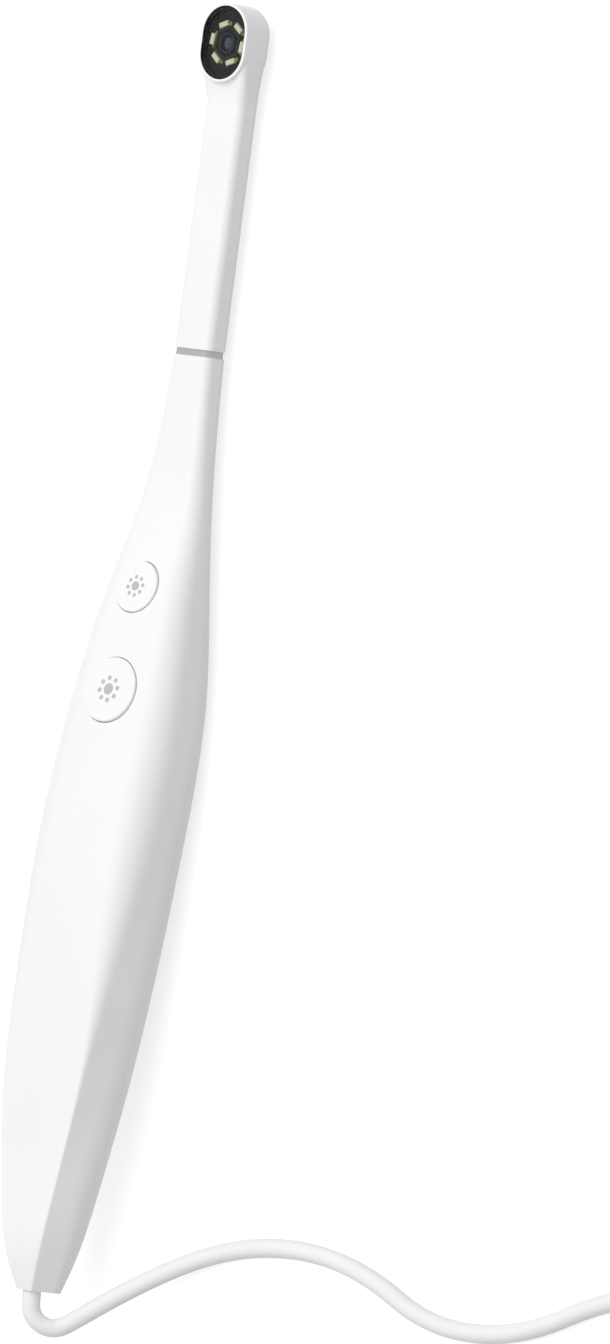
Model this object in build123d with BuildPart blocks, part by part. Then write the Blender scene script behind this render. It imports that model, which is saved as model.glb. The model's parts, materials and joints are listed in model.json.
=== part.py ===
"""An intraoral camera: a slim wand with a camera head, two sprung buttons and a fixed USB cord.

The wand lies on its back on a table. +Z is up, out of the buttons and the camera window. +Y runs
from the tail to the camera head. The origin is the middle of the wand on the table.
Places along the wand are given as "along", the distance from the tail. All sizes are in mm.
"""

import os
from collections import namedtuple
from math import acos, asin, atan2, cos, degrees, pi, radians, sin, tan

from build123d import *

os.makedirs("parts", exist_ok=True)

# %% Driving dimensions

OVERALL_LENGTH = 204.8
PROBE_Z = 4.5  # the probe's axis above the table

HANDLE_LENGTH = 149.0
HANDLE_WALL = 1.3
CAVITY_START = 5.0  # the moulded tail is solid up to here
SMALLEST_CORNER = 0.3

STEM_WIDTH = 7.8
STEM_DEPTH = 5.0
STEM_CORNER = 1.5
STEM_BORE_WIDTH = 6.0
STEM_BORE_DEPTH = 3.2
STEM_BORE_CORNER = 1.0

SPIGOT_LENGTH = 12.0
SPIGOT_WIDTH = 5.8
SPIGOT_DEPTH = 3.0
SPIGOT_CORNER = 0.9
SPIGOT_BORE_WIDTH = 4.6
SPIGOT_BORE_DEPTH = 1.7
SPIGOT_BORE_CORNER = 0.5
SPIGOT_CLEARANCE = 0.05

TRIM_RING_THICKNESS = 1.1
TRIM_RING_RECESS = 0.25

HEAD_WIDTH = 9.6
HEAD_LENGTH = 12.6
HEAD_BACK = -2.9  # below the probe's axis
HEAD_FRONT = 4.1  # above the probe's axis
HEAD_BACK_ROUND = 2.4
HEAD_RIM_ROUND = 0.18
HEAD_FLOOR = 0.9
HEAD_POCKET_WIDTH = 7.8
HEAD_POCKET_LENGTH = 10.8
HEAD_BORE_OVERLAP = 1.5

WINDOW_WIDTH = 8.5
WINDOW_LENGTH = 11.5
WINDOW_THICKNESS = 0.7
WINDOW_RECESS = 0.05
WINDOW_CLEARANCE = 0.05
WINDOW_CHAMFER = 0.1
LED_CHAMFER = 0.1

LED_BOARD_THICKNESS = 0.5
LED_BOARD_TOP = 2.6  # above the probe's axis
BOARD_CLEARANCE = 0.1
LED_COUNT = 6
LED_CIRCLE_RADIUS = 3.13
LED_FIRST_ANGLE = -8.5
LED_LENGTH = 1.8
LED_WIDTH = 0.85
LED_HEIGHT = 0.6

LENS_BARREL_DIAMETER = 3.5
LENS_BARREL_BOTTOM = -0.2
LENS_BARREL_TOP = 3.15
LENS_BARREL_BORE = 1.9
FRONT_LENS_DIAMETER = 2.5
FRONT_LENS_SEAT = 0.45
FRONT_LENS_DOME = 0.3
SHROUD_ACROSS_FLATS = 5.0
SHROUD_OPENING = 4.0
SHROUD_HEIGHT = 0.45
LENS_HOLDER_SIZE = 5.6
LENS_CLEARANCE = 0.05
SENSOR_BOARD_THICKNESS = 0.5
SENSOR_SIZE = 3.6
SENSOR_HEIGHT = 0.6

UPPER_BUTTON_TO_NECK = 37.2  # from the upper button's axis to the handle's end
BUTTON_SPACING = 16.6
UPPER_BUTTON_DIAMETER = 8.4
LOWER_BUTTON_DIAMETER = 10.5
BUTTON_PROUD = 0.5
BUTTON_TRAVEL = 0.5
BUTTON_CLEARANCE = 0.12
BUTTON_EDGE_ROUND = 0.25
BUTTON_WALL = 1.2  # from the keypad's face to the seat behind the wall
BUTTON_FLANGE_GAP = 0.1
BUTTON_SEAT_CLEARANCE = 0.4
BUTTON_FLANGE_WIDTH = 0.6
BUTTON_FLANGE_THICKNESS = 0.6
BUTTON_DISC_THICKNESS = 0.9
BUTTON_SKIRT = 0.8
BUTTON_POST_DIAMETER = 2.6

BOARD_DEPTH = 5.6  # from the keypad's face to the top of the main board
BOARD_THICKNESS = 1.0
BOARD_WIDTH = 11.0
BOARD_CORNER = 1.5
BOARD_HEAD_REACH = 6.4  # past the upper button's axis, towards the head
BOARD_TAIL_REACH = 40.0  # past the upper button's axis, towards the tail
BOARD_SCREW_MARGIN = 1.9  # from the board's long edges to the screws between the buttons

SWITCH_SIZE = 4.6
SWITCH_BODY_HEIGHT = 1.6
SWITCH_PLUNGER_DIAMETER = 2.0
SWITCH_PLUNGER_PROUD = 0.8
SWITCH_PLUNGER_DEPTH = 0.7
SWITCH_BORE_SPARE = 0.15  # below the plunger when the button is fully pressed
SWITCH_CLEARANCE = 0.1

PROCESSOR_SIZE = 7.0
PROCESSOR_HEIGHT = 0.9
MEMORY_LENGTH = 5.0
MEMORY_WIDTH = 4.0
MEMORY_HEIGHT = 0.9
CRYSTAL_LENGTH = 3.2
CRYSTAL_WIDTH = 2.5
CRYSTAL_HEIGHT = 0.7
CRYSTAL_SIDE = 3.0  # to the right of the board's middle
FLEX_SOCKET_LENGTH = 2.6
FLEX_SOCKET_WIDTH = 5.6
FLEX_SOCKET_HEIGHT = 1.1
CABLE_SOCKET_LENGTH = 4.4
CABLE_SOCKET_WIDTH = 6.6
CABLE_SOCKET_HEIGHT = 1.8
CABLE_SOCKET_WALL = 0.5

FLEX_WIDTH = 3.6
FLEX_THICKNESS = 0.25
FLEX_LEAD_OUT = 4.0
FLEX_DROP_START = 3.0  # inside the stem, where the ribbon starts to drop to the head's floor
FLEX_DROP_END = 8.0
FLEX_BEND_RADIUS = 6.0
CHIP_CHAMFER = 0.12

SCREW_HEAD_DIAMETER = 3.0
SCREW_HEAD_HEIGHT = 1.1
SCREW_SHANK_DIAMETER = 1.6
SCREW_THREAD_LENGTH = 3.2
SCREW_PILOT_CLEARANCE = 0.04
SCREW_HEAD_CLEARANCE = 0.12
SCREW_HEAD_TAPER = 10
SCREW_END_GAP = 0.2
SCREW_SLOT_LENGTH = 1.6
SCREW_SLOT_WIDTH = 0.4
SCREW_SLOT_DEPTH = 0.5
BOSS_DIAMETER = 3.6

COVER_TAIL_END = 30.0
COVER_HALF_WIDTH = 7.2
COVER_SEAM = 0.12
COVER_LIP_HEIGHT = 1.1
COVER_LIP_THICKNESS = 0.8
COVER_SCREW_ALONG = 36.5
COVER_TOP_RISE = 1.8  # the cover's highest reach above the probe's axis, over the back wall
COVER_SEAT_RISE = 0.75  # the seat of the cover's screw, above the probe's axis
COVER_BOSS_DIAMETER = 4.8
COVER_TONGUE_WIDTH = 3.0
COVER_TONGUE_REACH = 2.2
COVER_TONGUE_THICKNESS = 0.9
COVER_TONGUE_Z = 3.2

CORD_DIAMETER = 3.0
CORD_BORE_CLEARANCE = 0.05
TIP_WALL = 0.45  # over the cord's bore, at the very tail
COLLAR_DIAMETER = 4.4
COLLAR_LENGTH = 4.5
LEAD_END = 27.0  # where the jacket ends inside the handle
CLAMP_ALONG = 20.0
CLAMP_LENGTH = 4.6
CLAMP_THICKNESS = 1.6
CLAMP_SCREW_SPACING = 6.6
CLAMP_BOSS_DIAMETER = 3.0
CLAMP_GRIP = 0.9  # the clamp's face below the cord's axis
CLAMP_CORNER = 1.4
COLLAR_GAP = 0.1
WIRE_DIAMETER = 0.7
WIRE_BUNDLE = 1.0
WIRE_PITCH_AT_PLUG = 1.25
WIRE_GAP = 0.12  # at each end of a wire
WIRE_SPREAD = 1.2  # from the cover's boss to the wires that pass it
WIRE_BEND_RADIUS = 20.0
PLUG_FIT = 0.03

# The handle's sections, from the tail to the neck. Each is the outline round four corner circles:
# two at the front, which is the button side, and two at the back. The front corners start as a
# crisp crease at the tail and soften towards the belly. Their places are shares of the handle's
# length, so that a longer handle is stretched evenly.
NECK_SHARE = 0.8322  # where the handle narrows to the neck, and the rear cover ends
Station = namedtuple("Station", "along front_z front_half front_r back_z back_half back_r")
STATIONS = [
    Station(0.0, 17.3, 1.70, 0.4, 10.4, 3.00, 2.4),
    Station(CAVITY_START, 18.8, 3.40, 0.4, 8.8, 4.80, 4.4),
    Station(0.1007 * HANDLE_LENGTH, 19.6, 5.50, 0.4, 6.9, 7.15, 6.7),
    Station(0.2081 * HANDLE_LENGTH, 19.65, 7.95, 0.6, 4.4, 9.10, 8.2),
    Station(0.3356 * HANDLE_LENGTH, 19.55, 9.80, 3.0, 2.0, 10.45, 9.2),
    Station(0.4631 * HANDLE_LENGTH, 18.9, 11.05, 5.5, 0.5, 11.10, 9.0),
    Station(0.5503 * HANDLE_LENGTH, 17.4, 11.15, 5.9, -0.15, 11.15, 8.1),
    Station(0.6376 * HANDLE_LENGTH, 15.25, 10.40, 5.2, -0.15, 10.40, 6.6),
    Station(0.7517 * HANDLE_LENGTH, 12.0, 8.30, 4.0, 1.0, 8.30, 5.0),
    Station(NECK_SHARE * HANDLE_LENGTH, 8.8, 6.50, 2.8, 1.7, 6.50, 3.6),
    Station(0.9128 * HANDLE_LENGTH, 7.35, 4.85, 1.9, 1.9, 4.85, 2.2),
    Station(
        HANDLE_LENGTH,
        PROBE_Z + STEM_DEPTH / 2,
        STEM_WIDTH / 2,
        STEM_CORNER,
        PROBE_Z - STEM_DEPTH / 2,
        STEM_WIDTH / 2,
        STEM_CORNER,
    ),
]

# The free cord, as points of its centreline: across, along and height. It leaves the tail, bends
# down to the table and lies in a wave.
CORD_EXIT_Z = STATIONS[0].front_z - TIP_WALL - CORD_DIAMETER / 2 - CORD_BORE_CLEARANCE
CORD_START = 0.3  # inside the tail's mouth
TABLE = CORD_DIAMETER / 2
CORD_ROUTE = [
    (0.0, CORD_START, CORD_EXIT_Z),
    (0.0, -2.75, CORD_EXIT_Z),
    (0.8, -4.57, 14.5),
    (2.15, -5.53, 13.15),
    (3.65, -5.35, 11.65),
    (6.4, -2.9, 9.9),
    (10.8, 0.9, 7.3),
    (16.2, 5.1, 4.1),
    (23.0, 9.05, TABLE),
    (33.4, 11.8, TABLE),
    (45.3, 12.4, TABLE),
    (57.1, 10.0, TABLE),
    (68.9, 4.3, TABLE),
    (81.0, 3.4, TABLE),
    (92.2, 5.8, TABLE),
    (102.8, 10.9, TABLE),
    (113.5, 14.0, TABLE),
]

# The coil of the length that is put away, beside the tail: turns in columns and layers.
COIL_CENTRE = (137.0, 34.5)
COIL_INNER_TURN = 11.5
COIL_OUTER_TURN = 20.5
COIL_LAYERS = 4
COIL_STUB = 12.0  # a straight stretch of cord at each end of the coil

# From the coil down to the plug: across, along and height.
PLUG_X = 158.0
PLUG_ENTRY = 70.0
PLUG_Z = 3.9
PLUG_ROUTE_MIDDLE = [
    (COIL_CENTRE[0] + COIL_OUTER_TURN, 52.5, (COIL_LAYERS - 0.5) * CORD_DIAMETER),
    (PLUG_X, 64.0, PLUG_Z),
]
PLUG_WIDTH = 15.6
PLUG_HEIGHT = 2 * PLUG_Z
PLUG_LENGTH = 25.0
PLUG_CORNER = 2.2
PLUG_EDGE_ROUND = 0.8
PLUG_NECK_LENGTH = 7.0
PLUG_NECK_DIAMETER = 4.4
PLUG_NECK_END_DIAMETER = 6.4
USB_WIDTH = 12.0
USB_HEIGHT = 4.5
USB_WALL = 0.3
USB_REACH = 11.75
USB_SEATING = 4.0
USB_CORNER = 0.5
USB_WINDOW = 2.2
USB_WINDOW_BACK = 6.2  # from the plug's open end to the middle of its windows
USB_WINDOW_SPACING = 5.6
TONGUE_WIDTH = 11.0
TONGUE_THICKNESS = 1.85
TONGUE_REACH = 10.9
CONTACT_PLACES = [-3.5, -1.0, 1.0, 3.5]
CONTACT_WIDTH = 1.0
CONTACT_LENGTH = 7.4
CONTACT_THICKNESS = 0.12

# %% Values worked out from them

TAIL_Y = -OVERALL_LENGTH / 2
COVER_HEAD_END = NECK_SHARE * HANDLE_LENGTH
UPPER_BUTTON_ALONG = HANDLE_LENGTH - UPPER_BUTTON_TO_NECK
LOWER_BUTTON_ALONG = UPPER_BUTTON_ALONG - BUTTON_SPACING
STEM_START = HANDLE_LENGTH + TRIM_RING_THICKNESS
HEAD_ALONG = OVERALL_LENGTH - HEAD_LENGTH / 2
HEAD_Y = TAIL_Y + HEAD_ALONG
CORD_BORE = CORD_DIAMETER + 2 * CORD_BORE_CLEARANCE


def across(along):
    """The upright plane across the wand, seen from the tail: its y is up, its normal to the tail."""
    return Plane(origin=(0, TAIL_Y + along, 0), x_dir=(1, 0, 0), z_dir=(0, -1, 0))


def front_height(along):
    """The height of the handle's front face, in straight lines between the stations."""
    for low, high in zip(STATIONS, STATIONS[1:]):
        if low.along <= along <= high.along:
            share = (along - low.along) / (high.along - low.along)
            return low.front_z + share * (high.front_z - low.front_z)
    return STATIONS[-1].front_z


# The keypad: a plane through the front face at both buttons, which leans towards the head.
KEYPAD_DROP = front_height(LOWER_BUTTON_ALONG) - front_height(UPPER_BUTTON_ALONG)
KEYPAD_LEAN = degrees(atan2(KEYPAD_DROP, UPPER_BUTTON_ALONG - LOWER_BUTTON_ALONG))
KEYPAD = Plane(
    origin=(0, TAIL_Y + UPPER_BUTTON_ALONG, front_height(UPPER_BUTTON_ALONG)),
    x_dir=(1, 0, 0),
    z_dir=(0, sin(radians(KEYPAD_LEAN)), cos(radians(KEYPAD_LEAN))),
)
LOWER_BUTTON_Y = -(UPPER_BUTTON_ALONG - LOWER_BUTTON_ALONG) / cos(radians(KEYPAD_LEAN))
BUTTONS = {
    "upper": (0.0, UPPER_BUTTON_DIAMETER),
    "lower": (LOWER_BUTTON_Y, LOWER_BUTTON_DIAMETER),
}

# The screws that hold the main board, in the keypad's own x and y: two between the buttons and one
# midway between the lower button and the cable socket.
LOWER_BUTTON_EDGE = LOWER_BUTTON_Y - LOWER_BUTTON_DIAMETER / 2 - BUTTON_FLANGE_WIDTH
BOARD_SCREWS = [
    (-BOARD_WIDTH / 2 + BOARD_SCREW_MARGIN, LOWER_BUTTON_Y / 2),
    (BOARD_WIDTH / 2 - BOARD_SCREW_MARGIN, LOWER_BUTTON_Y / 2),
    (0.0, (LOWER_BUTTON_EDGE - BOARD_TAIL_REACH + CABLE_SOCKET_LENGTH) / 2),
]

# %% The handle's outline


def handle_section(station, inset=0.0):
    """The handle's section at a station, or the same section inset by a wall."""
    front_r = max(station.front_r - inset, SMALLEST_CORNER)
    back_r = max(station.back_r - inset, SMALLEST_CORNER)
    front = Vector(station.front_half - inset - front_r, station.front_z - inset - front_r)
    back = Vector(station.back_half - inset - back_r, station.back_z + inset + back_r)
    run = back - front
    flank = degrees(atan2(run.Y, run.X) + acos((front_r - back_r) / run.length))

    def on_circle(centre, radius, angle):
        return centre + Vector(radius, 0).rotate(Axis.Z, angle)

    def other_side(point):
        return Vector(-point.X, point.Y)

    front_top = on_circle(front, front_r, 90)
    front_middle = on_circle(front, front_r, (90 + flank) / 2)
    front_side = on_circle(front, front_r, flank)
    back_side = on_circle(back, back_r, flank)
    back_middle = on_circle(back, back_r, (flank - 90) / 2)
    back_bottom = on_circle(back, back_r, -90)
    with BuildSketch(across(station.along)) as section:
        with BuildLine():
            Line(other_side(front_top), front_top)
            ThreePointArc(front_top, front_middle, front_side)
            Line(front_side, back_side)
            ThreePointArc(back_side, back_middle, back_bottom)
            Line(back_bottom, other_side(back_bottom))
            ThreePointArc(other_side(back_bottom), other_side(back_middle), other_side(back_side))
            Line(other_side(back_side), other_side(front_side))
            ThreePointArc(
                other_side(front_side), other_side(front_middle), other_side(front_top)
            )
        make_face()
    return section.sketch


def handle_loft(inset=0.0, start=0.0, end=HANDLE_LENGTH):
    """A solid through the handle's stations, inset by a wall, with its back flat on the table."""
    sections = [handle_section(s, inset) for s in STATIONS if start <= s.along <= end]
    with BuildPart() as form:
        loft(sections)
        split(bisect_by=Plane.XY.offset(inset), keep=Keep.TOP)
    return form.part


def cover_outline(grow):
    """The rear cover's outline in plan, a long oval, grown or shrunk by an even margin."""
    middle = TAIL_Y + (COVER_TAIL_END + COVER_HEAD_END) / 2
    with BuildSketch(Plane.XY.offset(-1)) as outline:
        with Locations((0, middle)):
            Ellipse(
                COVER_HALF_WIDTH + grow,
                (COVER_HEAD_END - COVER_TAIL_END) / 2 + grow,
                rotation=0,
            )
    return outline.sketch


COVER_TOP = PROBE_Z + COVER_TOP_RISE

outer_form = handle_loft()
cavity_form = handle_loft(HANDLE_WALL, CAVITY_START)
lip_start = max(station.along for station in STATIONS if station.along < COVER_TAIL_END)
lip_form = handle_loft(HANDLE_WALL + COVER_LIP_HEIGHT, start=lip_start, end=COVER_HEAD_END)


# The screw bosses that the bodies below share: a plane at the screw's end, and their places on it.
CLAMP_TOP = Plane.XY.offset(CORD_EXIT_Z - CLAMP_GRIP)
CLAMP_SCREWS = [
    (-CLAMP_SCREW_SPACING / 2, TAIL_Y + CLAMP_ALONG),
    (CLAMP_SCREW_SPACING / 2, TAIL_Y + CLAMP_ALONG),
]
COVER_SCREW_SEAT = Plane.XY.offset(PROBE_Z + COVER_SEAT_RISE)
COVER_SCREW = [(0.0, TAIL_Y + COVER_SCREW_ALONG)]
BOARD_TOP = KEYPAD.offset(-BOARD_DEPTH)
BOARD_UNDERSIDE = KEYPAD.offset(-BOARD_DEPTH - BOARD_THICKNESS)


def screws(seat, places, shank_length):
    """Pan-head screws: their heads lie under the seat plane and their shanks stand on it."""
    with BuildPart() as group:
        with BuildSketch(seat):
            with Locations(*places):
                Circle(SCREW_HEAD_DIAMETER / 2)
        extrude(amount=-SCREW_HEAD_HEIGHT, taper=SCREW_HEAD_TAPER)
        with BuildSketch(seat):
            with Locations(*places):
                Circle(SCREW_SHANK_DIAMETER / 2)
        extrude(amount=shank_length)
        with BuildSketch(seat.offset(-SCREW_HEAD_HEIGHT)):
            with Locations(*places):
                Rectangle(SCREW_SLOT_LENGTH, SCREW_SLOT_WIDTH)
                Rectangle(SCREW_SLOT_WIDTH, SCREW_SLOT_LENGTH)
        extrude(amount=SCREW_SLOT_DEPTH, mode=Mode.SUBTRACT)
    return group.part


# %% Front shell: the moulded body of the handle, open at the back

with BuildPart() as front_bosses:
    with BuildSketch(BOARD_TOP):
        with Locations(*BOARD_SCREWS):
            Circle(BOSS_DIAMETER / 2)
    extrude(amount=BOARD_DEPTH)
    with BuildSketch(CLAMP_TOP):
        with Locations(*CLAMP_SCREWS):
            Circle(CLAMP_BOSS_DIAMETER / 2)
    extrude(until=Until.LAST, target=outer_form)
    with BuildSketch(Plane.XY.offset(COVER_TOP)):
        with Locations(*COVER_SCREW):
            Circle(BOSS_DIAMETER / 2)
    extrude(until=Until.LAST, target=outer_form)
    add(outer_form, mode=Mode.INTERSECT)

with BuildPart() as front_shell:
    add(outer_form)
    add(cavity_form, mode=Mode.SUBTRACT)
    add(front_bosses.part)
    # the opening for the rear cover
    extrude(cover_outline(COVER_SEAM), amount=COVER_TOP + 1, mode=Mode.SUBTRACT)
    # the socket for the probe's spigot
    with BuildSketch(across(HANDLE_LENGTH)):
        with Locations((0, PROBE_Z)):
            RectangleRounded(
                SPIGOT_WIDTH + 2 * SPIGOT_CLEARANCE,
                SPIGOT_DEPTH + 2 * SPIGOT_CLEARANCE,
                SPIGOT_CORNER,
            )
    extrude(amount=SPIGOT_LENGTH + 1, mode=Mode.SUBTRACT)
    # the cord's bore through the tail
    with BuildSketch(across(0)):
        with Locations((0, CORD_EXIT_Z)):
            Circle(CORD_BORE / 2)
    extrude(amount=-CAVITY_START, mode=Mode.SUBTRACT)
    # the button holes, and a flat seat for each button's flange behind the wall
    for middle, diameter in BUTTONS.values():
        with BuildSketch(KEYPAD.offset(HANDLE_WALL)):
            with Locations((0, middle)):
                Circle(diameter / 2 + BUTTON_CLEARANCE)
        extrude(amount=-2 * HANDLE_WALL - BUTTON_WALL, mode=Mode.SUBTRACT)
        with BuildSketch(KEYPAD.offset(-BUTTON_WALL)):
            with Locations((0, middle)):
                Circle(diameter / 2 + BUTTON_FLANGE_WIDTH + BUTTON_SEAT_CLEARANCE)
        extrude(amount=-HANDLE_WALL, mode=Mode.SUBTRACT)
    # pilot holes for the screws
    for plane, places in (
        (BOARD_TOP, BOARD_SCREWS),
        (CLAMP_TOP, CLAMP_SCREWS),
        (Plane.XY.offset(COVER_TOP), COVER_SCREW),
    ):
        with BuildSketch(plane):
            with Locations(*places):
                Circle(SCREW_SHANK_DIAMETER / 2 + SCREW_PILOT_CLEARANCE)
        extrude(amount=SCREW_THREAD_LENGTH, mode=Mode.SUBTRACT)

# %% Rear cover: an oval panel let into the handle's back, with a locating lip and a tongue

with BuildPart() as cover_lip:
    add(cavity_form)
    add(lip_form, mode=Mode.SUBTRACT)
    with BuildSketch(Plane.XY.offset(-1)):
        add(cover_outline(-COVER_SEAM))
        add(cover_outline(-COVER_SEAM - COVER_LIP_THICKNESS), mode=Mode.SUBTRACT)
    extrude(amount=COVER_TOP + 1, mode=Mode.INTERSECT)

with BuildPart() as cover_boss:
    with BuildSketch(Plane.XY):
        with Locations(*COVER_SCREW):
            Circle(COVER_BOSS_DIAMETER / 2)
    extrude(amount=COVER_TOP - COVER_SEAM)
    add(outer_form, mode=Mode.INTERSECT)

with BuildPart() as rear_cover:
    add(outer_form)
    add(cavity_form, mode=Mode.SUBTRACT)
    extrude(cover_outline(0), amount=COVER_TOP + 1, mode=Mode.INTERSECT)
    add(cover_lip.part)
    add(cover_boss.part)
    # the screw's hole and the recess for its head
    with BuildSketch(COVER_SCREW_SEAT):
        with Locations(*COVER_SCREW):
            Circle(SCREW_HEAD_DIAMETER / 2 + SCREW_HEAD_CLEARANCE)
    extrude(amount=-PROBE_Z, mode=Mode.SUBTRACT)
    with BuildSketch(COVER_SCREW_SEAT):
        with Locations(*COVER_SCREW):
            Circle(SCREW_SHANK_DIAMETER / 2 + SCREW_HEAD_CLEARANCE)
    extrude(amount=BOSS_DIAMETER, mode=Mode.SUBTRACT)
    # the tongue that hooks behind the shell at the head end
    with BuildSketch(Plane.XY.offset(COVER_TONGUE_Z)):
        with Locations((0, TAIL_Y + COVER_HEAD_END - COVER_TONGUE_REACH / 2)):
            RectangleRounded(COVER_TONGUE_WIDTH, 3 * COVER_TONGUE_REACH, COVER_TONGUE_WIDTH / 4)
    extrude(amount=COVER_TONGUE_THICKNESS)

cover_screw = screws(
    COVER_SCREW_SEAT,
    COVER_SCREW,
    COVER_TOP - PROBE_Z - COVER_SEAT_RISE + SCREW_THREAD_LENGTH - SCREW_END_GAP,
)

# %% Trim ring and probe

with BuildPart() as trim_ring:
    with BuildSketch(across(STEM_START)):
        with Locations((0, PROBE_Z)):
            RectangleRounded(
                STEM_WIDTH - 2 * TRIM_RING_RECESS,
                STEM_DEPTH - 2 * TRIM_RING_RECESS,
                STEM_CORNER - TRIM_RING_RECESS,
            )
            RectangleRounded(
                SPIGOT_WIDTH + 2 * SPIGOT_CLEARANCE,
                SPIGOT_DEPTH + 2 * SPIGOT_CLEARANCE,
                SPIGOT_CORNER,
                mode=Mode.SUBTRACT,
            )
    extrude(amount=TRIM_RING_THICKNESS)

# The shoulder where the stem swells into the head: back from the head's lower tip, rise of the
# front, half width at the front and front corner, drop of the back, half width and back corner.
SHOULDER = [
    (-4.5, 2.5, 3.9, 1.5, -2.5, 3.9, 1.5),
    (-2.4, 2.55, 3.95, 1.4, -2.5, 3.93, 1.55),
    (-0.2, 2.95, 4.3, 1.1, -2.58, 4.15, 1.9),
    (2.0, 3.55, 4.5, 1.0, -2.7, 4.4, 2.2),
    (4.5, 3.9, 4.65, 1.0, -2.8, 4.6, 2.4),
]
HEAD_LOW_TIP = HEAD_ALONG - HEAD_LENGTH / 2
shoulder_sections = [
    handle_section(
        Station(
            HEAD_LOW_TIP + step, PROBE_Z + rise, front_half, front_r, PROBE_Z + drop, back_half, back_r
        )
    )
    for step, rise, front_half, front_r, drop, back_half, back_r in SHOULDER
]
SHOULDER_START = HEAD_LOW_TIP + SHOULDER[0][0]

with BuildPart() as probe_tube:
    with BuildSketch(Plane.XY.offset(PROBE_Z + HEAD_BACK)):
        with Locations((0, HEAD_Y)):
            SlotOverall(HEAD_LENGTH, HEAD_WIDTH, rotation=90)
    extrude(amount=HEAD_FRONT - HEAD_BACK)
    fillet(probe_tube.faces().sort_by(Axis.Z)[0].edges(), HEAD_BACK_ROUND)
    fillet(probe_tube.faces().sort_by(Axis.Z)[-1].edges(), HEAD_RIM_ROUND)
    loft(shoulder_sections)
    with BuildSketch(across(SHOULDER_START)):
        with Locations((0, PROBE_Z)):
            RectangleRounded(STEM_WIDTH, STEM_DEPTH, STEM_CORNER)
    extrude(amount=SHOULDER_START - STEM_START)
    with BuildSketch(across(STEM_START)):
        with Locations((0, PROBE_Z)):
            RectangleRounded(SPIGOT_WIDTH, SPIGOT_DEPTH, SPIGOT_CORNER)
    extrude(amount=SPIGOT_LENGTH + TRIM_RING_THICKNESS)
    # the bores for the ribbon cable
    with BuildSketch(across(HEAD_ALONG - HEAD_POCKET_LENGTH / 2 + HEAD_BORE_OVERLAP)):
        with Locations((0, PROBE_Z)):
            RectangleRounded(STEM_BORE_WIDTH, STEM_BORE_DEPTH, STEM_BORE_CORNER)
    extrude(
        amount=HEAD_ALONG - HEAD_POCKET_LENGTH / 2 + HEAD_BORE_OVERLAP - STEM_START - HEAD_FLOOR,
        mode=Mode.SUBTRACT,
    )
    with BuildSketch(across(STEM_START + 2 * HEAD_FLOOR)):
        with Locations((0, PROBE_Z)):
            RectangleRounded(SPIGOT_BORE_WIDTH, SPIGOT_BORE_DEPTH, SPIGOT_BORE_CORNER)
    extrude(amount=SPIGOT_LENGTH + TRIM_RING_THICKNESS + 2 * HEAD_FLOOR, mode=Mode.SUBTRACT)
    # the pocket for the camera and the seat of the window
    with BuildSketch(Plane.XY.offset(PROBE_Z + HEAD_FRONT)):
        with Locations((0, HEAD_Y)):
            SlotOverall(HEAD_POCKET_LENGTH, HEAD_POCKET_WIDTH, rotation=90)
    extrude(amount=HEAD_BACK + HEAD_FLOOR - HEAD_FRONT, mode=Mode.SUBTRACT)
    with BuildSketch(Plane.XY.offset(PROBE_Z + HEAD_FRONT)):
        with Locations((0, HEAD_Y)):
            SlotOverall(
                WINDOW_LENGTH + 2 * WINDOW_CLEARANCE,
                WINDOW_WIDTH + 2 * WINDOW_CLEARANCE,
                rotation=90,
            )
    extrude(amount=-WINDOW_RECESS - WINDOW_THICKNESS, mode=Mode.SUBTRACT)

# %% The camera in the head, from the window down to the sensor's board

with BuildPart() as window_cover:
    with BuildSketch(Plane.XY.offset(PROBE_Z + HEAD_FRONT - WINDOW_RECESS)):
        with Locations((0, HEAD_Y)):
            SlotOverall(WINDOW_LENGTH, WINDOW_WIDTH, rotation=90)
    extrude(amount=-WINDOW_THICKNESS)
    chamfer(window_cover.faces().sort_by(Axis.Z)[-1].edges(), WINDOW_CHAMFER)

LED_BOARD_FACE = Plane.XY.offset(PROBE_Z + LED_BOARD_TOP)
with BuildPart() as led_board:
    with BuildSketch(LED_BOARD_FACE):
        with Locations((0, HEAD_Y)):
            SlotOverall(
                HEAD_POCKET_LENGTH - 2 * BOARD_CLEARANCE,
                HEAD_POCKET_WIDTH - 2 * BOARD_CLEARANCE,
                rotation=90,
            )
            Circle(LENS_BARREL_DIAMETER / 2 + LENS_CLEARANCE, mode=Mode.SUBTRACT)
    extrude(amount=-LED_BOARD_THICKNESS)

leds = {}
for number in range(LED_COUNT):
    turn = radians(LED_FIRST_ANGLE + number * 360 / LED_COUNT)
    led_plane = Plane(
        origin=(
            LED_CIRCLE_RADIUS * cos(turn),
            HEAD_Y + LED_CIRCLE_RADIUS * sin(turn),
            PROBE_Z + LED_BOARD_TOP,
        ),
        x_dir=(-sin(turn), cos(turn), 0),
        z_dir=(0, 0, 1),
    )
    with BuildPart() as led:
        with BuildSketch(led_plane):
            Rectangle(LED_LENGTH, LED_WIDTH)
        extrude(amount=LED_HEIGHT)
        chamfer(led.faces().sort_by(Axis.Z)[-1].edges(), LED_CHAMFER)
    leds[f"led_{number + 1}"] = led.part

with BuildPart() as lens_shroud:
    with BuildSketch(LED_BOARD_FACE):
        with Locations((0, HEAD_Y)):
            RegularPolygon(
                SHROUD_ACROSS_FLATS / 2, 6, major_radius=False, rotation=LED_FIRST_ANGLE + 30
            )
            RegularPolygon(
                SHROUD_OPENING / 2,
                6,
                major_radius=False,
                rotation=LED_FIRST_ANGLE + 30,
                mode=Mode.SUBTRACT,
            )
    extrude(amount=SHROUD_HEIGHT)

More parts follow.
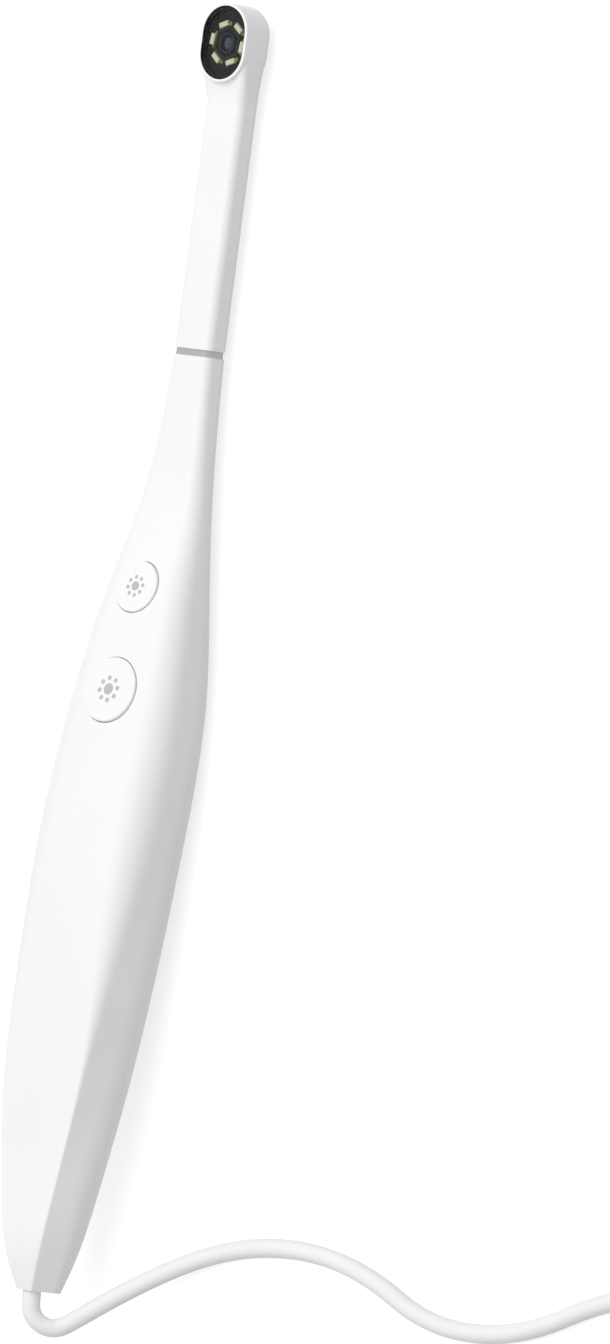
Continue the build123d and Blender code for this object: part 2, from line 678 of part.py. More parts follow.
with BuildPart() as lens_barrel:
    with BuildSketch(Plane.XY.offset(PROBE_Z + LENS_BARREL_BOTTOM)):
        with Locations((0, HEAD_Y)):
            Circle(LENS_BARREL_DIAMETER / 2)
            Circle(LENS_BARREL_BORE / 2, mode=Mode.SUBTRACT)
    extrude(amount=LENS_BARREL_TOP - LENS_BARREL_BOTTOM)
    with BuildSketch(Plane.XY.offset(PROBE_Z + LENS_BARREL_TOP)):
        with Locations((0, HEAD_Y)):
            Circle(FRONT_LENS_DIAMETER / 2 + LENS_CLEARANCE)
    extrude(amount=-FRONT_LENS_SEAT, mode=Mode.SUBTRACT)

with BuildPart() as front_lens:
    with BuildSketch(across(HEAD_ALONG)):
        with BuildLine():
            lens_top = PROBE_Z + LENS_BARREL_TOP
            lens_floor = lens_top - FRONT_LENS_SEAT
            lens_side = FRONT_LENS_DIAMETER / 2
            dome_radius = (lens_side**2 + FRONT_LENS_DOME**2) / (2 * FRONT_LENS_DOME)
            half_way = asin(lens_side / dome_radius) / 2
            Line((0, lens_floor), (lens_side, lens_floor))
            Line((lens_side, lens_floor), (lens_side, lens_top - FRONT_LENS_DOME))
            ThreePointArc(
                (lens_side, lens_top - FRONT_LENS_DOME),
                (dome_radius * sin(half_way), lens_top - dome_radius * (1 - cos(half_way))),
                (0, lens_top),
            )
            Line((0, lens_top), (0, lens_floor))
        make_face()
    revolve(axis=Axis((0, HEAD_Y, 0), (0, 0, 1)))

SENSOR_BOARD_TOP = HEAD_BACK + HEAD_FLOOR + SENSOR_BOARD_THICKNESS
with BuildPart() as sensor_board:
    with BuildSketch(Plane.XY.offset(PROBE_Z + SENSOR_BOARD_TOP)):
        with Locations((0, HEAD_Y)):
            SlotOverall(
                HEAD_POCKET_LENGTH - 2 * BOARD_CLEARANCE,
                HEAD_POCKET_WIDTH - 2 * BOARD_CLEARANCE,
                rotation=90,
            )
    extrude(amount=-SENSOR_BOARD_THICKNESS)

with BuildPart() as image_sensor:
    with BuildSketch(Plane.XY.offset(PROBE_Z + SENSOR_BOARD_TOP)):
        with Locations((0, HEAD_Y)):
            Rectangle(SENSOR_SIZE, SENSOR_SIZE)
    extrude(amount=SENSOR_HEIGHT)

with BuildPart() as lens_holder:
    with BuildSketch(Plane.XY.offset(PROBE_Z + SENSOR_BOARD_TOP)):
        with Locations((0, HEAD_Y)):
            RectangleRounded(LENS_HOLDER_SIZE, LENS_HOLDER_SIZE, SMALLEST_CORNER)
            Circle(LENS_BARREL_DIAMETER / 2 + LENS_CLEARANCE, mode=Mode.SUBTRACT)
    extrude(amount=LED_BOARD_TOP - LED_BOARD_THICKNESS - SENSOR_BOARD_TOP)
    with BuildSketch(Plane.XY.offset(PROBE_Z + SENSOR_BOARD_TOP)):
        with Locations((0, HEAD_Y)):
            Rectangle(SENSOR_SIZE + 2 * BOARD_CLEARANCE, SENSOR_SIZE + 2 * BOARD_CLEARANCE)
    extrude(amount=SENSOR_HEIGHT + BOARD_CLEARANCE, mode=Mode.SUBTRACT)

# %% Ribbon cable: from the sensor's board through the stem and the neck to the main board

FLEX_LOW_Z = PROBE_Z + SENSOR_BOARD_TOP + FLEX_THICKNESS / 2
FLEX_SOCKET_Y = BOARD_HEAD_REACH - BOARD_CLEARANCE - FLEX_SOCKET_LENGTH / 2
FLEX_ENTRY_Z = -BOARD_DEPTH + FLEX_SOCKET_HEIGHT / 2
flex_end = KEYPAD.from_local_coords(Vector(0, FLEX_SOCKET_Y, FLEX_ENTRY_Z))
flex_bend = KEYPAD.from_local_coords(Vector(0, FLEX_SOCKET_Y + FLEX_LEAD_OUT, FLEX_ENTRY_Z))
flex_head_end = TAIL_Y + HEAD_ALONG - LENS_HOLDER_SIZE / 2 - BOARD_CLEARANCE
with BuildPart() as flex_cable:
    with BuildLine():
        FilletPolyline(
            (0, flex_head_end, FLEX_LOW_Z),
            (0, TAIL_Y + STEM_START + FLEX_DROP_END, FLEX_LOW_Z),
            (0, TAIL_Y + STEM_START + FLEX_DROP_START, PROBE_Z),
            (0, flex_bend.Y + FLEX_LEAD_OUT, PROBE_Z),
            flex_bend,
            flex_end,
            radius=FLEX_BEND_RADIUS,
        )
    with BuildSketch(Plane(origin=(0, flex_head_end, FLEX_LOW_Z), x_dir=(1, 0, 0), z_dir=(0, -1, 0))):
        Rectangle(FLEX_WIDTH, FLEX_THICKNESS)
    sweep()

# %% Main board and what is on it

with BuildPart() as main_board:
    with BuildSketch(BOARD_TOP):
        with Locations((0, (BOARD_HEAD_REACH - BOARD_TAIL_REACH) / 2)):
            RectangleRounded(BOARD_WIDTH, BOARD_HEAD_REACH + BOARD_TAIL_REACH, BOARD_CORNER)
        with Locations(*BOARD_SCREWS):
            Circle(SCREW_SHANK_DIAMETER / 2 + BOARD_CLEARANCE, mode=Mode.SUBTRACT)
    extrude(amount=-BOARD_THICKNESS)

board_screws = screws(
    BOARD_UNDERSIDE, BOARD_SCREWS, BOARD_THICKNESS + SCREW_THREAD_LENGTH - SCREW_END_GAP
)


def chip(plane, place, width, length, height):
    """A moulded chip: a low block with its top edges bevelled, on a board's face."""
    with BuildPart() as package:
        with BuildSketch(plane):
            with Locations(place):
                Rectangle(width, length)
        extrude(amount=height)
        top = package.faces().filter_by(lambda face: face.normal_at().dot(plane.z_dir) > 0.99)
        chamfer(top.edges(), CHIP_CHAMFER)
    return package.part


under_board = Plane(BOARD_UNDERSIDE.origin, x_dir=(1, 0, 0), z_dir=-BOARD_UNDERSIDE.z_dir)
image_processor = chip(
    under_board, (0, -LOWER_BUTTON_Y), PROCESSOR_SIZE, PROCESSOR_SIZE, PROCESSOR_HEIGHT
)
memory_chip = chip(under_board, (0, 0), MEMORY_WIDTH, MEMORY_LENGTH, MEMORY_HEIGHT)
crystal_y = (LOWER_BUTTON_Y + BOARD_SCREWS[2][1]) / 2
crystal = chip(
    BOARD_TOP, (CRYSTAL_SIDE, crystal_y), CRYSTAL_WIDTH, CRYSTAL_LENGTH, CRYSTAL_HEIGHT
)

with BuildPart() as flex_socket:
    with BuildSketch(BOARD_TOP):
        with Locations((0, FLEX_SOCKET_Y)):
            Rectangle(FLEX_SOCKET_WIDTH, FLEX_SOCKET_LENGTH)
    extrude(amount=FLEX_SOCKET_HEIGHT)
    with BuildSketch(KEYPAD.offset(FLEX_ENTRY_Z - FLEX_THICKNESS / 2 - SWITCH_CLEARANCE)):
        with Locations((0, FLEX_SOCKET_Y + FLEX_SOCKET_LENGTH / 2)):
            Rectangle(FLEX_WIDTH + 2 * SWITCH_CLEARANCE, FLEX_SOCKET_LENGTH + SWITCH_CLEARANCE)
    extrude(amount=FLEX_THICKNESS + 2 * SWITCH_CLEARANCE, mode=Mode.SUBTRACT)

CABLE_SOCKET_Y = -BOARD_TAIL_REACH + CABLE_SOCKET_LENGTH / 2 + BOARD_CLEARANCE
CABLE_PLUG_HEIGHT = CABLE_SOCKET_HEIGHT - 2 * CABLE_SOCKET_WALL
CABLE_PLUG_WIDTH = CABLE_SOCKET_WIDTH - 2 * CABLE_SOCKET_WALL
with BuildPart() as cable_socket:
    with BuildSketch(BOARD_TOP):
        with Locations((0, CABLE_SOCKET_Y)):
            Rectangle(CABLE_SOCKET_WIDTH, CABLE_SOCKET_LENGTH)
    extrude(amount=CABLE_SOCKET_HEIGHT)
    with BuildSketch(BOARD_TOP.offset(CABLE_SOCKET_WALL)):
        with Locations((0, CABLE_SOCKET_Y - CABLE_SOCKET_WALL)):
            Rectangle(CABLE_PLUG_WIDTH, CABLE_SOCKET_LENGTH)
    extrude(amount=CABLE_PLUG_HEIGHT, mode=Mode.SUBTRACT)

CABLE_PLUG_TAIL = CABLE_SOCKET_Y - CABLE_SOCKET_LENGTH / 2 - CABLE_SOCKET_WALL
with BuildPart() as cable_plug:
    with BuildSketch(BOARD_TOP.offset(CABLE_SOCKET_WALL + PLUG_FIT)):
        with Locations((0, CABLE_PLUG_TAIL + CABLE_SOCKET_LENGTH / 2)):
            Rectangle(CABLE_PLUG_WIDTH - 2 * PLUG_FIT, CABLE_SOCKET_LENGTH)
    extrude(amount=CABLE_PLUG_HEIGHT - 2 * PLUG_FIT)

switch_bodies = {}
switch_plungers = {}
button_caps = {}
for which, (middle, diameter) in BUTTONS.items():
    with BuildPart() as switch_body:
        with BuildSketch(BOARD_TOP):
            with Locations((0, middle)):
                Rectangle(SWITCH_SIZE, SWITCH_SIZE)
        extrude(amount=SWITCH_BODY_HEIGHT)
        with BuildSketch(BOARD_TOP.offset(SWITCH_BODY_HEIGHT)):
            with Locations((0, middle)):
                Circle(SWITCH_PLUNGER_DIAMETER / 2 + SWITCH_CLEARANCE)
        extrude(
            amount=-SWITCH_PLUNGER_DEPTH - BUTTON_TRAVEL - SWITCH_BORE_SPARE, mode=Mode.SUBTRACT
        )
    switch_bodies[which] = switch_body.part

    with BuildPart() as plunger:
        with BuildSketch(BOARD_TOP.offset(SWITCH_BODY_HEIGHT + SWITCH_PLUNGER_PROUD)):
            with Locations((0, middle)):
                Circle(SWITCH_PLUNGER_DIAMETER / 2)
        extrude(amount=-SWITCH_PLUNGER_PROUD - SWITCH_PLUNGER_DEPTH)
    switch_plungers[which] = plunger.part

    # the cap: a hollow disc through the wall, with a flange behind it and a post on the plunger
    flange_top = BUTTON_WALL + BUTTON_FLANGE_GAP
    flange_bottom = flange_top + BUTTON_FLANGE_THICKNESS
    post_end = BOARD_DEPTH - SWITCH_BODY_HEIGHT - SWITCH_PLUNGER_PROUD
    with BuildPart() as cap:
        with BuildSketch(KEYPAD.offset(BUTTON_PROUD)):
            with Locations((0, middle)):
                Circle(diameter / 2)
        extrude(amount=-BUTTON_PROUD - flange_bottom)
        rim = cap.edges().filter_by(GeomType.CIRCLE).sort_by(Axis((0, 0, 0), KEYPAD.z_dir))[-1]
        fillet(rim, BUTTON_EDGE_ROUND)
        with BuildSketch(KEYPAD.offset(-flange_top)):
            with Locations((0, middle)):
                Circle(diameter / 2 + BUTTON_FLANGE_WIDTH)
        extrude(amount=-BUTTON_FLANGE_THICKNESS)
        with BuildSketch(KEYPAD.offset(-flange_bottom)):
            with Locations((0, middle)):
                Circle(diameter / 2 - BUTTON_SKIRT)
        extrude(amount=flange_bottom + BUTTON_PROUD - BUTTON_DISC_THICKNESS, mode=Mode.SUBTRACT)
        with BuildSketch(KEYPAD.offset(-post_end)):
            with Locations((0, middle)):
                Circle(BUTTON_POST_DIAMETER / 2)
        extrude(amount=post_end)
    button_caps[which] = cap.part

# %% The cord's end inside the tail: its moulded collar, the clamp and the wires

with BuildPart() as strain_relief:
    with BuildSketch(across(CORD_START)):
        with Locations((0, CORD_EXIT_Z)):
            Circle(CORD_DIAMETER / 2)
    extrude(amount=CORD_START - LEAD_END)
    with BuildSketch(across(CAVITY_START + COLLAR_GAP)):
        with Locations((0, CORD_EXIT_Z)):
            Circle(COLLAR_DIAMETER / 2)
    extrude(amount=-COLLAR_LENGTH)

with BuildPart() as cable_clamp:
    with BuildSketch(CLAMP_TOP):
        with Locations((0, TAIL_Y + CLAMP_ALONG)):
            RectangleRounded(CLAMP_SCREW_SPACING + CLAMP_BOSS_DIAMETER, CLAMP_LENGTH, CLAMP_CORNER)
        with Locations(*CLAMP_SCREWS):
            Circle(SCREW_SHANK_DIAMETER / 2 + BOARD_CLEARANCE, mode=Mode.SUBTRACT)
    extrude(amount=-CLAMP_THICKNESS)
    with BuildSketch(across(CLAMP_ALONG - CLAMP_LENGTH)):
        with Locations((0, CORD_EXIT_Z)):
            Circle(CORD_DIAMETER / 2)
    extrude(amount=-2 * CLAMP_LENGTH, mode=Mode.SUBTRACT)

clamp_screws = screws(
    CLAMP_TOP.offset(-CLAMP_THICKNESS),
    CLAMP_SCREWS,
    CLAMP_THICKNESS + SCREW_THREAD_LENGTH - SCREW_END_GAP,
)

wire_height = -BOARD_DEPTH + CABLE_SOCKET_WALL + CABLE_PLUG_HEIGHT / 2
with BuildPart() as wires:
    for number in range(4):
        side = -1 if number < 2 else 1
        level = -1 if number in (0, 3) else 1
        height = CORD_EXIT_Z + level * WIRE_BUNDLE / 2
        start = Vector(side * WIRE_BUNDLE / 2, TAIL_Y + LEAD_END + WIRE_GAP, height)
        # each pair of wires passes the cover's boss on its own side
        beside = Vector(
            side * (BOSS_DIAMETER / 2 + WIRE_SPREAD),
            TAIL_Y + COVER_SCREW_ALONG + BOSS_DIAMETER / 2,
            height,
        )
        plug_x = (number - 1.5) * WIRE_PITCH_AT_PLUG
        end = KEYPAD.from_local_coords(Vector(plug_x, CABLE_PLUG_TAIL - WIRE_GAP, wire_height))
        with BuildLine():
            FilletPolyline(start, beside, end, radius=WIRE_BEND_RADIUS)
        with BuildSketch(Plane(origin=start, z_dir=beside - start)):
            Circle(WIRE_DIAMETER / 2)
        sweep()

# %% The free cord: a tube, the coil and a second tube down to the plug


def cord_tube(route, name):
    """A tube along straight runs and tangent arcs, each arc as large as its two runs allow."""
    points = [Vector(x, TAIL_Y + along, z) for x, along, z in route]
    runs = [after - before for before, after in zip(points, points[1:])]
    radii = []
    for one, two in zip(runs, runs[1:]):
        half_turn = radians(one.get_angle(two)) / 2
        radii.append(0.45 * min(one.length, two.length) / tan(half_turn))
    with BuildPart() as tube:
        with BuildLine() as path:
            FilletPolyline(*points, radius=radii)
        with BuildSketch(Plane(origin=points[0], z_dir=runs[0])):
            Circle(CORD_DIAMETER / 2)
        sweep()
    length = sum(edge.length for edge in path.edges())
    expected = length * pi * CORD_DIAMETER**2 / 4
    print(f"{name}: radii", " ".join(f"{radius:.1f}" for radius in radii))
    print(f"{name}: {length:.1f} long, volume {tube.part.volume / expected:.4f} of section x length")
    return tube.part, length


COIL_REACH = COIL_OUTER_TURN + CORD_DIAMETER / 2
COIL_HEIGHT = COIL_LAYERS * CORD_DIAMETER
COIL_Y = TAIL_Y + COIL_CENTRE[1]
cord, cord_length = cord_tube(
    CORD_ROUTE
    + [(COIL_CENTRE[0] - COIL_STUB, COIL_CENTRE[1] - COIL_OUTER_TURN, CORD_DIAMETER / 2)],
    "cord",
)
cord_end, cord_end_length = cord_tube(
    [
        (
            COIL_CENTRE[0] + COIL_OUTER_TURN,
            COIL_CENTRE[1] + COIL_STUB,
            COIL_HEIGHT - CORD_DIAMETER / 2,
        )
    ]
    + PLUG_ROUTE_MIDDLE
    + [(PLUG_X, PLUG_ENTRY, PLUG_Z)],
    "cord_end",
)


def coil_layer(plane):
    """One layer of the coil with the straight stretch of cord that runs into it, tangent to it."""
    inner_side = CORD_DIAMETER - COIL_REACH
    meets = -((COIL_REACH**2 - inner_side**2) ** 0.5)
    with BuildSketch(plane) as layer:
        with BuildLine():
            Line((-COIL_STUB, inner_side), (-COIL_STUB, -COIL_REACH))
            Line((-COIL_STUB, -COIL_REACH), (0, -COIL_REACH))
            ThreePointArc((0, -COIL_REACH), (COIL_REACH, 0), (0, COIL_REACH))
            ThreePointArc((0, COIL_REACH), (-COIL_REACH, 0), (meets, inner_side))
            Line((meets, inner_side), (-COIL_STUB, inner_side))
        make_face()
    return layer.sketch


with BuildPart() as cord_coil:
    with BuildSketch(Plane((COIL_CENTRE[0], COIL_Y, 0))):
        Circle(COIL_REACH)
    extrude(amount=COIL_HEIGHT)
    extrude(coil_layer(Plane((COIL_CENTRE[0], COIL_Y, 0))), amount=CORD_DIAMETER)
    top = Plane((COIL_CENTRE[0], COIL_Y, COIL_HEIGHT), x_dir=(0, -1, 0), z_dir=(0, 0, -1))
    extrude(coil_layer(top), amount=CORD_DIAMETER)
    with BuildSketch(Plane((COIL_CENTRE[0], COIL_Y, 0))):
        Circle(COIL_INNER_TURN - CORD_DIAMETER / 2)
    extrude(amount=COIL_HEIGHT, mode=Mode.SUBTRACT)

# %% The plug: a moulded grip, the metal shell, the tongue and its contacts

PLUG_FACE = PLUG_ENTRY + PLUG_NECK_LENGTH + PLUG_LENGTH
with BuildPart() as plug_housing:
    with BuildSketch(across(PLUG_FACE)):
        with Locations((PLUG_X, PLUG_Z)):
            RectangleRounded(PLUG_WIDTH, PLUG_HEIGHT, PLUG_CORNER)
    extrude(amount=PLUG_LENGTH)
    fillet(plug_housing.faces().sort_by(Axis.Y)[0].edges(), PLUG_EDGE_ROUND)
    fillet(plug_housing.faces().sort_by(Axis.Y)[-1].edges(), PLUG_EDGE_ROUND / 2)
    with BuildSketch(across(PLUG_ENTRY)):
        with Locations((PLUG_X, PLUG_Z)):
            Circle(PLUG_NECK_DIAMETER / 2)
    with BuildSketch(across(PLUG_ENTRY + PLUG_NECK_LENGTH)):
        with Locations((PLUG_X, PLUG_Z)):
            Circle(PLUG_NECK_END_DIAMETER / 2)
    loft()
    with BuildSketch(across(PLUG_FACE)):
        with Locations((PLUG_X, PLUG_Z)):
            RectangleRounded(USB_WIDTH, USB_HEIGHT, USB_CORNER)
    extrude(amount=USB_SEATING, mode=Mode.SUBTRACT)

with BuildPart() as plug_shell:
    with BuildSketch(across(PLUG_FACE + USB_REACH)):
        with Locations((PLUG_X, PLUG_Z)):
            RectangleRounded(USB_WIDTH, USB_HEIGHT, USB_CORNER)
            RectangleRounded(
                USB_WIDTH - 2 * USB_WALL,
                USB_HEIGHT - 2 * USB_WALL,
                USB_CORNER - USB_WALL,
                mode=Mode.SUBTRACT,
            )
    extrude(amount=USB_REACH + USB_SEATING)
    with BuildSketch(Plane.XY):
        with Locations((PLUG_X, TAIL_Y + PLUG_FACE + USB_REACH - USB_WINDOW_BACK)):
            with GridLocations(USB_WINDOW_SPACING, 0, 2, 1):
                Rectangle(USB_WINDOW, USB_WINDOW)
    extrude(amount=PLUG_HEIGHT, mode=Mode.SUBTRACT)

TONGUE_BOTTOM = PLUG_Z - USB_HEIGHT / 2 + USB_WALL
with BuildPart() as plug_tongue:
    with BuildSketch(Plane.XY.offset(TONGUE_BOTTOM)):
        with Locations((PLUG_X, TAIL_Y + PLUG_FACE + (TONGUE_REACH - USB_SEATING) / 2)):
            Rectangle(TONGUE_WIDTH, TONGUE_REACH + USB_SEATING)
    extrude(amount=TONGUE_THICKNESS)

with BuildPart() as plug_contacts:
    with BuildSketch(Plane.XY.offset(TONGUE_BOTTOM + TONGUE_THICKNESS)):
        with Locations(
            *[
                (PLUG_X + x, TAIL_Y + PLUG_FACE + TONGUE_REACH - CONTACT_LENGTH / 2 - USB_WALL)
                for x in CONTACT_PLACES
            ]
        ):
            Rectangle(CONTACT_WIDTH, CONTACT_LENGTH)
    extrude(amount=CONTACT_THICKNESS)

# %% Write each piece under its own name

pieces = {
    "front_shell": front_shell.part,
    "rear_cover": rear_cover.part,
    "cover_screw": cover_screw,
    "trim_ring": trim_ring.part,
    "probe_tube": probe_tube.part,
    "window_cover": window_cover.part,
    "led_board": led_board.part,
    **leds,
    "lens_shroud": lens_shroud.part,
    "lens_barrel": lens_barrel.part,
    "front_lens": front_lens.part,
    "lens_holder": lens_holder.part,
    "image_sensor": image_sensor.part,
    "sensor_board": sensor_board.part,
    "flex_cable": flex_cable.part,
    "main_board": main_board.part,
    "board_screws": board_screws,
    "image_processor": image_processor,
    "memory_chip": memory_chip,
    "crystal": crystal,
    "flex_socket": flex_socket.part,
    "cable_socket": cable_socket.part,
    "cable_plug": cable_plug.part,
    "wires": wires.part,
    "upper_switch_body": switch_bodies["upper"],
    "lower_switch_body": switch_bodies["lower"],
    "upper_switch_plunger": switch_plungers["upper"],
    "lower_switch_plunger": switch_plungers["lower"],
    "upper_button": button_caps["upper"],
    "lower_button": button_caps["lower"],
    "strain_relief": strain_relief.part,
    "cable_clamp": cable_clamp.part,
    "clamp_screws": clamp_screws,
    "cord": cord,
    "cord_coil": cord_coil.part,
    "cord_end": cord_end,
    "plug_housing": plug_housing.part,
    "plug_shell": plug_shell.part,
    "plug_tongue": plug_tongue.part,
    "plug_contacts": plug_contacts.part,
}
for name, piece in pieces.items():
    piece.label = name
    export_step(piece, f"parts/{name}.step")

print("keypad leans", round(KEYPAD_LEAN, 2), "at height", round(KEYPAD.origin.Z, 3))
print("keypad normal", KEYPAD.z_dir)
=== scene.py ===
# %% [markdown]
# # An intraoral camera on a white table
#
# A dentist's camera: a white moulded handle, a thin stem, a head with a window and six small LEDs,
# two push buttons and a white cord. Its solids come from a measured model, so every size here is
# real. We dress them: a smooth handle, a cord, finishes, light and a camera.
#
# The solids are loaded first, each under its own name. Places are written as a maker would write
# them: across the wand, along it from the tail, and up from the table, in millimetres.

# %% Load the measured frame

import json
import math
from collections import namedtuple

import bpy
import numpy as np
from mathutils import Matrix, Vector


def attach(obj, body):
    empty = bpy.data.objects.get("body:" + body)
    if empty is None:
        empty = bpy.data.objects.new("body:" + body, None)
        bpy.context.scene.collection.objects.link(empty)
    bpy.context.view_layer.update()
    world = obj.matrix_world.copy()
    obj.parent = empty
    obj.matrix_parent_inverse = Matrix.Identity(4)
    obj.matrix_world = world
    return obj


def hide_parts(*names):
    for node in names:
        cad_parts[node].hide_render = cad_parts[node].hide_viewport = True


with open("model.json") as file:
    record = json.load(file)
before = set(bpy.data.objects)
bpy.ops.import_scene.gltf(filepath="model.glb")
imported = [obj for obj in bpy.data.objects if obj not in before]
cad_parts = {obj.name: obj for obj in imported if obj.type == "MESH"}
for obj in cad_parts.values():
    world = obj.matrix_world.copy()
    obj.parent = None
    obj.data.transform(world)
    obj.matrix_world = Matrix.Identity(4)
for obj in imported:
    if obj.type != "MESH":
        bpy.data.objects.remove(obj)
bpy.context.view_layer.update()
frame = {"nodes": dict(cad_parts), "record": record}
nodes = frame["nodes"]
MM = 0.001
TAIL_Y = -102.4
PROBE_Z = 4.5
HANDPIECE = "handpiece"


def place(x, along, z):
    """A point given across the wand, along it from the tail, and above the table, in mm."""
    return Vector((x, TAIL_Y + along, z)) * MM


# %% [markdown]
# ## The camera
#
# A photograph from a long way off, through a long lens, keeps the wand's two ends nearly the same
# size. We look down from the right, 41 degrees off straight above, and roll the camera a little, so
# that the wand leans in the frame. A matrix made of three directions (right, up and back) sets the
# camera in one step, which is surer than stacking angles.

# %% Point the camera

VIEW_TILT = math.radians(41)
VIEW_ROLL = math.radians(7.4)
FRAME_MIDDLE_ALONG = 101.9
FRAME_MIDDLE_ASIDE = 22.93
CAMERA_DISTANCE = 2800
CAMERA_LENS = 476
CAMERA_SENSOR = 36
CAMERA_CLIP_START = 0.05

backward = Vector((math.sin(VIEW_TILT), 0, math.cos(VIEW_TILT)))
sideways = Vector((math.cos(VIEW_TILT), 0, -math.sin(VIEW_TILT)))
lengthways = Vector((0, 1, 0))
camera_right = sideways * math.cos(VIEW_ROLL) + lengthways * math.sin(VIEW_ROLL)
camera_up = lengthways * math.cos(VIEW_ROLL) - sideways * math.sin(VIEW_ROLL)

target = place(0, FRAME_MIDDLE_ALONG, PROBE_Z) + sideways * FRAME_MIDDLE_ASIDE * MM
turn = Matrix((camera_right, camera_up, backward)).transposed().to_4x4()
bpy.ops.object.camera_add()
camera = bpy.context.object
camera.name = "camera"
camera.matrix_world = Matrix.Translation(target + backward * CAMERA_DISTANCE * MM) @ turn
camera.data.sensor_fit = "VERTICAL"
camera.data.sensor_height = CAMERA_SENSOR
camera.data.lens = CAMERA_LENS
camera.data.clip_start = CAMERA_CLIP_START
bpy.context.scene.camera = camera
print("camera at", [round(value, 3) for value in camera.location])

# %% [markdown]
# ## The cord
#
# The real cord is a soft white PVC cable 3 mm thick. It leaves the tail, turns back on itself, comes
# down to the table and wanders off to the right. A NURBS curve is the natural tool: its control
# points pull it along without kinks. They are placed close together where the cord bends sharply
# and further apart where it lies slack.

# %% Lay the cord's open part

CORD_RADIUS = 1.5
CORD_EXIT_Z = 15.3

cord_route = [
    (0.0, 0.3, CORD_EXIT_Z),
    (0.0, -2.75, CORD_EXIT_Z),
    (0.8, -4.57, 14.5),
    (2.15, -5.53, 13.15),
    (3.65, -5.35, 11.65),
    (6.4, -2.9, 9.9),
    (10.8, 0.9, 7.3),
    (16.2, 5.1, 4.1),
    (23.0, 9.05, CORD_RADIUS),
    (33.4, 11.8, CORD_RADIUS),
    (45.3, 12.4, CORD_RADIUS),
    (57.1, 10.0, CORD_RADIUS),
    (68.9, 4.3, CORD_RADIUS),
    (81.0, 3.4, CORD_RADIUS),
    (92.2, 5.8, CORD_RADIUS),
    (102.8, 10.9, CORD_RADIUS),
    (113.5, 14.0, CORD_RADIUS),
    (125.0, 14.0, CORD_RADIUS),
]
print("points on the open part:", len(cord_route))

# %% [markdown]
# ## The cord's coil
#
# Such a cord is about a metre and a half long, and most of it is put away in a coil beside the wand.
# The coil winds inwards, climbs a layer, winds outwards, and so on. One loop works out each point's
# radius and height, and a second one turns them round the coil's middle.

# %% Wind the coil

COIL_X, COIL_ALONG = 137.0, 34.5
COIL_START = math.radians(-90)
COIL_LAYERS = 4
INNER_TURN, OUTER_TURN = 11.5, 20.5
LAYER_STEPS = 46
RISE_STEPS = 4
STEPS_PER_TURN = 16

radii, heights = [], []
for layer in range(COIL_LAYERS):
    first, last = (OUTER_TURN, INNER_TURN) if layer % 2 == 0 else (INNER_TURN, OUTER_TURN)
    height = (2 * layer + 1) * CORD_RADIUS
    for step in range(LAYER_STEPS):
        radii.append(first + (last - first) * (step + 0.5) / LAYER_STEPS)
        heights.append(height)
    if layer < COIL_LAYERS - 1:
        for step in range(RISE_STEPS):
            radii.append(last)
            heights.append(height + 2 * CORD_RADIUS * (step + 0.5) / RISE_STEPS)

# Control points stand outside a circle by 1 / cos of half a step, so the curve touches the circle.
STAND_OFF = 1 / math.cos(math.pi / STEPS_PER_TURN)
for step, (radius, height) in enumerate(zip(radii, heights)):
    angle = COIL_START + (step + 0.5) * 2 * math.pi / STEPS_PER_TURN
    x = COIL_X + radius * STAND_OFF * math.cos(angle)
    along = COIL_ALONG + radius * STAND_OFF * math.sin(angle)
    cord_route.append((x, along, height))

# From the coil's top the cord comes down to the middle of the plug's grip.
cord_route += [
    (157.5, 46.5, 10.5),
    (157.5, 52.5, 10.5),
    (158.0, 64.0, 3.9),
    (158.0, 70.0, 3.9),
]
print("points in all:", len(cord_route))

# %% [markdown]
# ## From route to cord
#
# A bevel gives a curve its round thickness, and caps close its ends. Each point's radius scales the
# bevel, so with the radius set to a millimetre the bevel's depth is simply the cord's own radius in
# millimetres.

# %% Make the cord

CORD_SMOOTHNESS = 8
CORD_ROUNDNESS = 4

line = bpy.data.curves.new("usb_cord", "CURVE")
line.dimensions = "3D"
spline = line.splines.new("NURBS")
spline.points.add(len(cord_route) - 1)
for point, spot in zip(spline.points, cord_route):
    point.co = (*place(*spot), 1)
    point.radius = MM
spline.order_u = 3
spline.use_endpoint_u = True
line.resolution_u = CORD_SMOOTHNESS
line.bevel_depth = CORD_RADIUS
line.bevel_resolution = CORD_ROUNDNESS
line.use_fill_caps = True
cord = bpy.data.objects.new("usb_cord", line)
bpy.context.collection.objects.link(cord)
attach(cord, HANDPIECE)
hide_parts("cord", "cord_coil", "cord_end")

# %% [markdown]
# ## The handle's stations
#
# The real handle is a lofted moulding: flat on the front, with a crisp crease at the tail that melts
# away towards the belly. Its section is a rounded shape between a front and a back, so each station
# along it needs only a height, a half width and a corner radius for both.

# %% Stations along the handle

